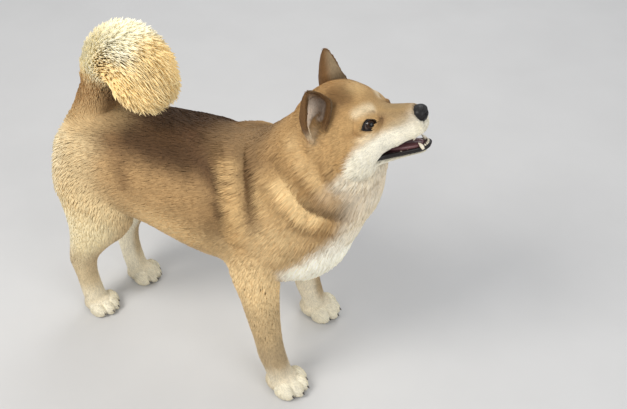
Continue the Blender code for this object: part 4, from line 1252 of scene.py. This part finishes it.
# Each tooth on one side, in the head's frame: x, y, length
upper_teeth = (
    (0.0885, 0.0020, 0.0020), (0.0875, 0.0056, 0.0020), (0.0850, 0.0092, 0.0024), (0.0765, 0.0130, 0.0062),
    (0.0665, 0.0150, 0.0014), (0.0580, 0.0172, 0.0018), (0.0485, 0.0200, 0.0026), (0.0390, 0.0235, 0.0016),
)
lower_teeth = (
    (0.0875, 0.0018, 0.0034), (0.0868, 0.0050, 0.0034), (0.0850, 0.0080, 0.0034), (0.0810, 0.0108, 0.0082),
    (0.0705, 0.0125, 0.0010), (0.0620, 0.0145, 0.0014), (0.0530, 0.0168, 0.0020), (0.0440, 0.0192, 0.0014),
)
tooth_finish, start, drive = finish_named("ivory_enamel", coat=0.5, coat_roughness=0.12)
place = start.node("ShaderNodeTexCoord", out="Object")
stain = start.node("ShaderNodeTexNoise", {"Vector": place, "Scale": 300.0, "Detail": 3.0})
drive(Base_Color=stain.mixed((0.66, 0.56, 0.40), (0.84, 0.78, 0.64)), Roughness=0.22 + 0.15 * stain)
for name, rows, lip, grows in (("upper", upper_teeth, upper_lip, -1), ("lower", lower_teeth, lower_lip, 1)):
    tooth_forms = []
    for x, y, length in rows:
        root = float(level_at([mouth_corner, *lip], x))
        canine, cutter = 0.075 < x < 0.083, x > 0.083
        radius = 0.0030 if canine else 0.0016 if cutter else 0.0023
        lean = -0.0022 if canine else -0.0006
        share = np.linspace(0, 1, 9)
        heights = root + grows * (-0.0025 + (length + 0.0022) * share)
        radii = radius * (1 - share**1.7) ** 0.8 + 0.0002
        for side in (-1, 1):
            path = np.stack((x + lean * share**2 * 1.6, np.full(9, y * side), heights), 1)
            tooth_forms.append(tube(from_head(path), radii, 12))
    shown(piece("teeth_" + name, *joined(tooth_forms)), tooth_finish, "claw")

# The tongue in the head's frame: x, z, half width, half height
tongue_rows = eased((
    (0.0235, -0.0400, 0.0080, 0.0020), (0.0300, -0.0405, 0.0125, 0.0036), (0.0480, -0.0435, 0.0135, 0.0046),
    (0.0640, -0.0455, 0.0125, 0.0046), (0.0740, -0.0465, 0.0100, 0.0038), (0.0800, -0.0470, 0.0055, 0.0024),
), 6)
rings = np.array([
    oval(np.array((x, 0, z)), Y, Z, width, height, height, 2.4, 2.4, 40)
    for x, z, width, height in tongue_rows
])
upper_side = rings[..., 2] > tongue_rows[:, 1, None]
rings[..., 2] -= upper_side * 0.0016 * np.exp(-(rings[..., 1] / 0.0022) ** 2)
tongue_finish, start, drive = finish_named("wet_tongue", coat=0.4, coat_roughness=0.2)
place = start.node("ShaderNodeTexCoord", out="Object")
papillae = start.node("ShaderNodeTexVoronoi", {"Vector": place, "Scale": 1300.0})
flush = start.node("ShaderNodeTexNoise", {"Vector": place, "Scale": 120.0, "Detail": 3.0})
# The tongue is painted darker than its own pink, as painted shade inside the mouth.
drive(
    Base_Color=flush.mixed((0.13, 0.052, 0.056), (0.20, 0.088, 0.090)),
    Roughness=0.30 + 0.15 * flush,
    Normal=start.node("ShaderNodeBump", {"Height": papillae, "Strength": 0.5, "Distance": 0.0003}),
)
tongue = piece("grooved_tongue", from_head(rings.reshape(-1, 3)), loft_faces(*rings.shape[:2]))
shown(tongue, tongue_finish, "tongue", "tongue")


# Claws and pads. Each toe ends in a dark curved claw rooted under the fur, and the dog stands on one
# black leather pad under each toe and a broad one behind them.
claw_length, claw_radius, claw_drop = 0.0110, 0.0034, 0.0062
toe_pad, heel_pad = np.array((0.0092, 0.0066, 0.0046)), np.array((0.0125, 0.0142, 0.0052))
claw_finish, start, drive = finish_named("dark_horn", coat=0.2, coat_roughness=0.3)
place = start.node("ShaderNodeTexCoord", out="Object")
growth = start.node("ShaderNodeTexNoise", {"Vector": place, "Scale": 700.0, "Detail": 4.0})
drive(
    Base_Color=growth.mixed((0.018, 0.014, 0.012), (0.090, 0.066, 0.050)),
    Roughness=0.30 + 0.25 * growth,
    Normal=start.node("ShaderNodeBump", {"Height": growth, "Strength": 0.3, "Distance": 0.0002}),
)
pad_finish, start, drive = finish_named("pad_leather")
place = start.node("ShaderNodeTexCoord", out="Object")
cells = start.node("ShaderNodeTexVoronoi", {"Vector": place, "Scale": 900.0})
drive(
    Base_Color=cells.mixed((0.030, 0.024, 0.022), (0.075, 0.060, 0.054)),
    Roughness=0.62 + 0.2 * cells,
    Normal=start.node("ShaderNodeBump", {"Height": cells, "Strength": 0.6, "Distance": 0.0004}),
)
for name, ((foot_x, foot_y), turn_out, size) in paws.items():
    claw_forms, pad_forms = [], []
    for at, heading, _ in toe_places[name]:
        ahead = np.array((math.cos(heading), math.sin(heading), 0))
        root = at + ahead * toe_length * size * 0.62 + Z * 0.0015 * size
        share = np.linspace(0, 1, 10)[:, None]
        path = root + ahead * claw_length * size * share - Z * claw_drop * size * share**2
        radii = claw_radius * size * (1 - 0.86 * share[:, 0] ** 1.2)
        claw_forms.append(tube(path, radii, 12, flat=1.15))
        under = at + ahead * 0.002
        spin = np.array(Matrix.Rotation(heading, 3, "Z"))
        pad_forms.append(ball((under[0], under[1], 0.0036), toe_pad * size, spin, 4))
    turn = math.radians(turn_out)
    ahead = np.array((math.cos(turn), math.sin(turn), 0))
    heel = ORIGIN + (foot_x, foot_y, 0.0042) - ahead * 0.0075 * size
    pad_forms.append(ball(heel, heel_pad * size, np.array(Matrix.Rotation(turn, 3, "Z")), 4))
    points_of_pads, faces = joined(pad_forms)
    points_of_pads[:, 2] = np.maximum(points_of_pads[:, 2], 0.0)
    shown(piece("pads_" + name, points_of_pads, faces), pad_finish, "nose")
    claws = piece("claws_" + name, *joined(claw_forms))
    shown(claws, claw_finish, "claw", *[f"claw_{name}_{number}" for number in range(1, 5)])


# The coat. Tufts root in the hide and lie along the body: each is a closed sliver that rises, bends over
# and thins to a point. Geometry Nodes scatter them by density, turn them to the lie and sway them in locks.
def sliver(name, bend, rings):
    """One tuft, a unit long, along X and arching along Z: a leaf on top, closed below by two flat sides."""
    places = [(0, 0, 0)]
    for x in rings:
        half = 0.5 * (1.0 if x < 0.6 else 0.72)
        places += [(x, half, bend * 4 * x * (1 - x)), (x, -half, bend * 4 * x * (1 - x))]
    places.append((1, 0, 0))
    tip = len(places) - 1
    faces = [(0, 2, 1)]
    for low in range(1, tip - 2, 2):
        faces += [(low, low + 1, low + 3), (low, low + 3, low + 2), (0, low, low + 2), (0, low + 3, low + 1)]
    faces += [(tip - 2, tip - 1, tip), (0, tip - 2, tip), (0, tip, tip - 1)]
    made = piece(name, places, faces)
    store(made.data, "along", "FLOAT", "POINT", [x for x, _, _ in places])
    return made


def tuft_tree():
    tree = bpy.data.node_groups.new("tufts", "GeometryNodeTree")
    tree.is_modifier = True
    for name, kind, way in (
        ("Geometry", "Geometry", "INPUT"), ("Form", "Object", "INPUT"), ("Seed", "Int", "INPUT"),
        ("Sway", "Float", "INPUT"), ("Lock Size", "Float", "INPUT"), ("Material", "Material", "INPUT"),
        ("Geometry", "Geometry", "OUTPUT"),
    ):
        tree.interface.new_socket(name, in_out=way, socket_type="NodeSocket" + kind)
    start, entry = Wire(tree), tree.nodes.new("NodeGroupInput")
    given = {socket.name: Wire(tree, socket) for socket in entry.outputs if socket.name}

    def named(name, kind="FLOAT"):
        return start.node("GeometryNodeInputNamedAttribute", {"Name": name}, data_type=kind)

    def random(low, high, salt):
        values = {2: low, 3: high, 8: given["Seed"] + salt}
        return start.node("FunctionNodeRandomValue", values, 1, data_type="FLOAT")

    points = start.node(
        "GeometryNodeDistributePointsOnFaces",
        {"Mesh": given["Geometry"], "Density": named("density"), "Seed": given["Seed"]},
        distribute_method="RANDOM",
    )
    place = start.node("GeometryNodeInputPosition")
    waves = {"Vector": place, "Scale": 1.0 / given["Lock Size"], "Detail": 2.0}
    sway = start.node("ShaderNodeTexNoise", waves, "Color")
    swells = {"Vector": place, "Scale": 0.7 / given["Lock Size"], "Detail": 2.0}
    lift = start.node("ShaderNodeTexNoise", swells)
    ends = {0: (-1, -1, -1), 1: (1, 1, 1), 8: given["Seed"] + 5.0}
    stray = start.node("FunctionNodeRandomValue", ends, 0, data_type="FLOAT_VECTOR")
    out = named("skin_normal", "FLOAT_VECTOR").vector("NORMALIZE", named("skin_normal", "FLOAT_VECTOR"))
    way = named("lie", "FLOAT_VECTOR") + (sway - 0.5) * given["Sway"] + stray * 0.13
    way = way - out * way.vector("DOT_PRODUCT", way, out, out="Value")
    way = way.vector("NORMALIZE", way)
    rise = named("rise") * (0.88 + 0.24 * lift) * random(0.90, 1.08, 1.0)
    ahead = way * ((1.0 - rise * rise) ** 0.5) + out * rise
    turn = start.node("FunctionNodeAxesToRotation", {"Primary Axis": ahead, "Secondary Axis": out},
                      primary_axis="X", secondary_axis="Z")
    length = named("length") * random(0.80, 1.16, 2.0)
    size = start.node("ShaderNodeCombineXYZ", (length, named("width") * random(0.75, 1.25, 3.0), length))
    shade = 0.55 * lift + random(0.0, 0.45, 4.0)
    for name, kind, value in (("root", "FLOAT_VECTOR", place), ("shade", "FLOAT", shade)):
        values = {"Geometry": points, "Name": name, "Value": value}
        points = start.node("GeometryNodeStoreNamedAttribute", values, data_type=kind, domain="POINT")
    form = start.node("GeometryNodeObjectInfo", {"Object": given["Form"]}, "Geometry")
    values = {"Points": points, "Instance": form, "Rotation": turn, "Scale": size}
    tufts = start.node("GeometryNodeInstanceOnPoints", values)
    tufts = start.node("GeometryNodeRealizeInstances", {"Geometry": tufts})
    tufts = start.node("GeometryNodeSetMaterial", {"Geometry": tufts, "Material": given["Material"]})
    start.node("NodeGroupOutput", {"Geometry": tufts})
    return tree


tufts = tuft_tree()
coat_finish, start, drive = finish_named("guard_hair", sheen=0.03, level=0.15)
painted = start.node("ShaderNodeAttribute", out="Color", attribute_name="coat_colour")
along_hair = start.node("ShaderNodeAttribute", out="Fac", attribute_name="along")
shade = start.node("ShaderNodeAttribute", out="Fac", attribute_name="shade")
# Each tuft is painted darker at its root, as painted shade down among the tufts, and lighter to its tip;
# shade sets its tone from tuft to tuft.
drive(
    Base_Color=painted * (along_hair.between(0.0, 0.8, 0.84, 1.06) * (0.69 + 0.62 * shade)),
    Roughness=0.62 + 0.12 * shade,
)

# Each vertex's share of the hide's area sets how many tufts root round it
vertex_areas = np.zeros(len(points))
triangles = hide.data.loop_triangles
hide.data.calc_loop_triangles()
corner_ids = read(triangles, "vertices", 3, int)
triangle_areas = read(triangles, "area", 1)
for column in corner_ids.T:
    vertex_areas += np.bincount(column, triangle_areas / 3, len(points))
store(hide.data, "lie", "FLOAT_VECTOR", "POINT", lie)
store(hide.data, "skin_normal", "FLOAT_VECTOR", "POINT", skin_normals)
store(hide.data, "coat_colour", "FLOAT_COLOR", "POINT", with_alpha(colours))
store(hide.data, "length", "FLOAT", "POINT", lengths)
store(hide.data, "rise", "FLOAT", "POINT", rises)
for name in ("width", "density"):
    store(hide.data, name, "FLOAT", "POINT", np.zeros(len(points)))


def write(name, values):
    hide.data.attributes[name].data.foreach_set("value", np.ascontiguousarray(values, np.float32))


map_patch = 0.003  # how much of the map one tuft takes


def unwrapped(roots, normals):
    """Each root's place on a flat map of the skin: a chart for each way the skin faces, on each side."""
    axis = np.abs(normals).argmax(1)
    chart = axis * 4 + (normals[np.arange(len(axis)), axis] > 0) * 2 + (roots[:, 1] > np.median(roots[:, 1]))
    found = np.zeros((len(roots), 2))
    for number in range(12):
        mine = chart == number
        if not mine.any():
            continue
        keep = [i for i in range(3) if i != number // 4]
        flat = roots[mine][:, keep]
        low, high = flat.min(0), flat.max(0)
        corner = np.array((number % 4, number // 4))
        found[mine] = (corner + 0.03 + 0.94 * (flat - low) / np.maximum(high - low, 1e-4)) / (4, 3)
    return found


def lay_coat(name, share, count, width, form, seed, sway, lock):
    """Lays one piece of the coat where share is 1: about count tufts, as wide as width at 20 mm long."""
    widths = width * (0.45 + 0.55 * lengths / 0.020)
    need = share / (widths * lengths)
    write("width", widths)
    write("density", need * count / (need @ vertex_areas))
    layer = bpy.data.objects.new(name, hide.data)
    bpy.context.scene.collection.objects.link(layer)
    grow = layer.modifiers.new("grow", "NODES")
    grow.node_group = tufts
    sockets = {one.name: one.identifier for one in tufts.interface.items_tree if one.in_out == "INPUT"}
    given = {"Form": form, "Seed": seed, "Sway": sway, "Lock Size": lock, "Material": coat_finish}
    for key, value in given.items():
        grow[sockets[key]] = value
    settle(layer)
    mesh = layer.data
    each = len(form.data.vertices)
    roots = np.empty((len(mesh.vertices), 3), np.float32)
    mesh.attributes["root"].data.foreach_get("vector", roots.ravel())
    out = np.empty((len(mesh.vertices), 3), np.float32)
    mesh.attributes["skin_normal"].data.foreach_get("vector", out.ravel())
    out /= np.maximum(np.linalg.norm(out, axis=1), 1e-6)[:, None]
    flat = np.array([(0.5 + vertex.co.y, min(max(vertex.co.x, 0), 1)) for vertex in form.data.vertices])
    charted = np.repeat(unwrapped(roots[::each], out[::each]), each, 0)
    spots = charted + map_patch * np.tile(flat, (len(roots) // each, 1))
    places = read(mesh.vertices, "co", 3)
    places[:, 2] = np.maximum(places[:, 2], 0.0002)
    mesh.vertices.foreach_set("co", places.ravel())
    corners = read(mesh.loops, "vertex_index", 1, int)
    chart = mesh.uv_layers.new(name="OFBake")
    chart.data.foreach_set("uv", spots[corners].astype(np.float32).ravel())
    for extra in ("root", "skin_normal", "lie", "length", "rise", "width", "density", "hide_colour", "wet"):
        if extra in mesh.attributes:
            mesh.attributes.remove(mesh.attributes[extra])
    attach(layer, "root")
    return layer


# The coat's pieces. A short tuft has four triangles and a plume eight, so these counts keep each piece
# under 200,000: piece, where it lies, tufts, width, form, sway and size of locks
short = sliver("short_tuft", 0.13, (0.52,))
plume = sliver("plume_tuft", 0.13, (0.34, 0.70))
short_count, plume_count = 46500, 23200
x_of, hx_of = points[:, 0], face_places[:, 0]
clothed = np.where(bare, 0.0, 1.0)
on_head = head_part > 0.5
on_tail = ~on_head & (part_of["tail"] > 0.5)
on_fore = ~on_head & ((part_of["foreleg"] > 0.5) | (part_of["paw"] > 0.5) & (x_of > 0))
on_hind = ~on_head & ((part_of["hindleg"] > 0.5) | (part_of["paw"] > 0.5) & (x_of < 0))
on_body = ~(on_head | on_tail | on_fore | on_hind)
on_neck = on_body & (part_of["neck"] > part_of["trunk"])
for seed, (name, where, count, width, form, sway, lock) in enumerate((
    ("coat_face", on_head & (hx_of > 0.006), short_count, 0.0016, short, 0.12, 0.008),
    ("coat_head_and_ears", on_head & (hx_of <= 0.006), short_count, 0.0017, short, 0.18, 0.012),
    ("coat_neck", on_neck, short_count, 0.0018, short, 0.26, 0.022),
    ("coat_shoulders", on_body & ~on_neck & (x_of > 0.0), short_count, 0.0018, short, 0.22, 0.022),
    ("coat_back", on_body & ~on_neck & (x_of <= 0.0), short_count, 0.0018, short, 0.20, 0.020),
    ("coat_tail", on_tail, plume_count, 0.0013, plume, 0.40, 0.024),
    ("coat_forelegs", on_fore, short_count, 0.0018, short, 0.16, 0.010),
    ("coat_hindlegs", on_hind, short_count, 0.0018, short, 0.18, 0.014),
), 11):
    lay_coat(name, clothed * where, count, width, form, seed, sway, lock)

# Whiskers are round bent hairs that stand out from the pads of the upper lip
whisker_length, whisker_rise, whisker_sides = 0.024, 0.50, 4
share = np.linspace(0, 1, 7)
bent = np.stack((share, 0 * share, 0.30 * share * (1 - share)), 1)
whisker = piece("whisker", *tube(bent, 0.5 * (1 - 0.8 * share), whisker_sides, flat=0.022))
store(whisker.data, "along", "FLOAT", "POINT", np.repeat(share, whisker_sides))
write("length", np.full(len(points), whisker_length))
write("rise", np.full(len(points), whisker_rise))
off_pad = on_side(face_places, 1) - (0.072, 0, -0.012)
pad = (np.abs(off_pad[:, 0]) < 0.011) & (np.abs(off_pad[:, 2]) < 0.006) & (off_pad[:, 1] > 0.012)
lay_coat("whiskers", clothed * on_head * pad, 26, 0.00065, whisker, 31, 0.30, 0.006)
for form in (short, plume, whisker):
    bpy.data.objects.remove(form)

# The hide stands for every solid of flesh
flesh = ["head", "lower_jaw", "neck", "trunk", "tail_base", "tail_middle", "tail_tip"]
for part in ("foreleg", "hindleg", "forepaw", "hindpaw", "ear"):
    flesh += [part + "_left", part + "_right"]
for extra in ("lie", "skin_normal", "coat_colour", "length", "rise", "width", "density"):
    hide.data.attributes.remove(hide.data.attributes[extra])
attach(hide, "root")
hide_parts(*flesh)


# The stage: a plain pale floor, soft lights, and the camera at the photograph's angle.
floor_half = 6.0
floor = piece("floor", [(x, y, -0.0004) for x, y in ((-1, -1), (1, -1), (1, 1), (-1, 1))], [(0, 1, 2, 3)])
for vertex in floor.data.vertices:
    vertex.co.xy *= floor_half
floor_finish, start, drive = finish_named("pale_floor", level=0.2)
place = start.node("ShaderNodeTexCoord", out="Object")
dust = start.node("ShaderNodeTexNoise", {"Vector": place, "Scale": 6.0, "Detail": 5.0})
drive(Base_Color=dust.mixed((0.56, 0.555, 0.55), (0.62, 0.615, 0.61)), Roughness=0.9)
floor.data.materials.append(floor_finish)

world = bpy.data.worlds.new("studio")
bpy.context.scene.world = world
world.use_nodes = True
world.node_tree.nodes["Background"].inputs["Color"].default_value = (0.93, 0.96, 1.0, 1)
world.node_tree.nodes["Background"].inputs["Strength"].default_value = 0.55


def soft_light(name, at, towards, size, power, tint=(1, 1, 1)):
    lamp = bpy.data.lights.new(name, "AREA")
    lamp.size, lamp.energy, lamp.color = size, power, tint
    made = bpy.data.objects.new(name, lamp)
    made.location = at
    made.rotation_euler = (Vector(at) - Vector(towards)).to_track_quat("Z", "Y").to_euler()
    bpy.context.scene.collection.objects.link(made)


soft_light("key_light", (-0.9, -1.5, 2.1), (0, 0, 0.25), 1.1, 44, (1.0, 0.97, 0.92))
soft_light("fill_light", (1.9, -0.9, 1.5), (0.1, 0, 0.3), 1.4, 18)
soft_light("rear_light", (-0.3, 1.8, 2.0), (0, 0, 0.35), 1.2, 16)

camera_at = Vector((0.57368, -0.98501, 1.109))
azimuth, elevation, roll = math.radians(24.0), math.radians(36.86), math.radians(0.2)
camera = bpy.data.cameras.new("camera")
camera.lens, camera.sensor_width = 53.15, 36
camera.clip_start = 0.02
camera_object = bpy.data.objects.new("camera", camera)
camera_object.location = camera_at
level_share = math.cos(elevation)
back = Vector((math.sin(azimuth) * level_share, -math.cos(azimuth) * level_share, math.sin(elevation)))
right = Vector((math.cos(azimuth), math.sin(azimuth), 0))
upward = back.cross(right)
tilted_right = right * math.cos(roll) + upward * math.sin(roll)
tilted_up = upward * math.cos(roll) - right * math.sin(roll)
camera_object.rotation_euler = Matrix((tilted_right, tilted_up, back)).transposed().to_euler()
bpy.context.scene.collection.objects.link(camera_object)
bpy.context.scene.camera = camera_object
bpy.context.scene.view_settings.view_transform = "Standard"
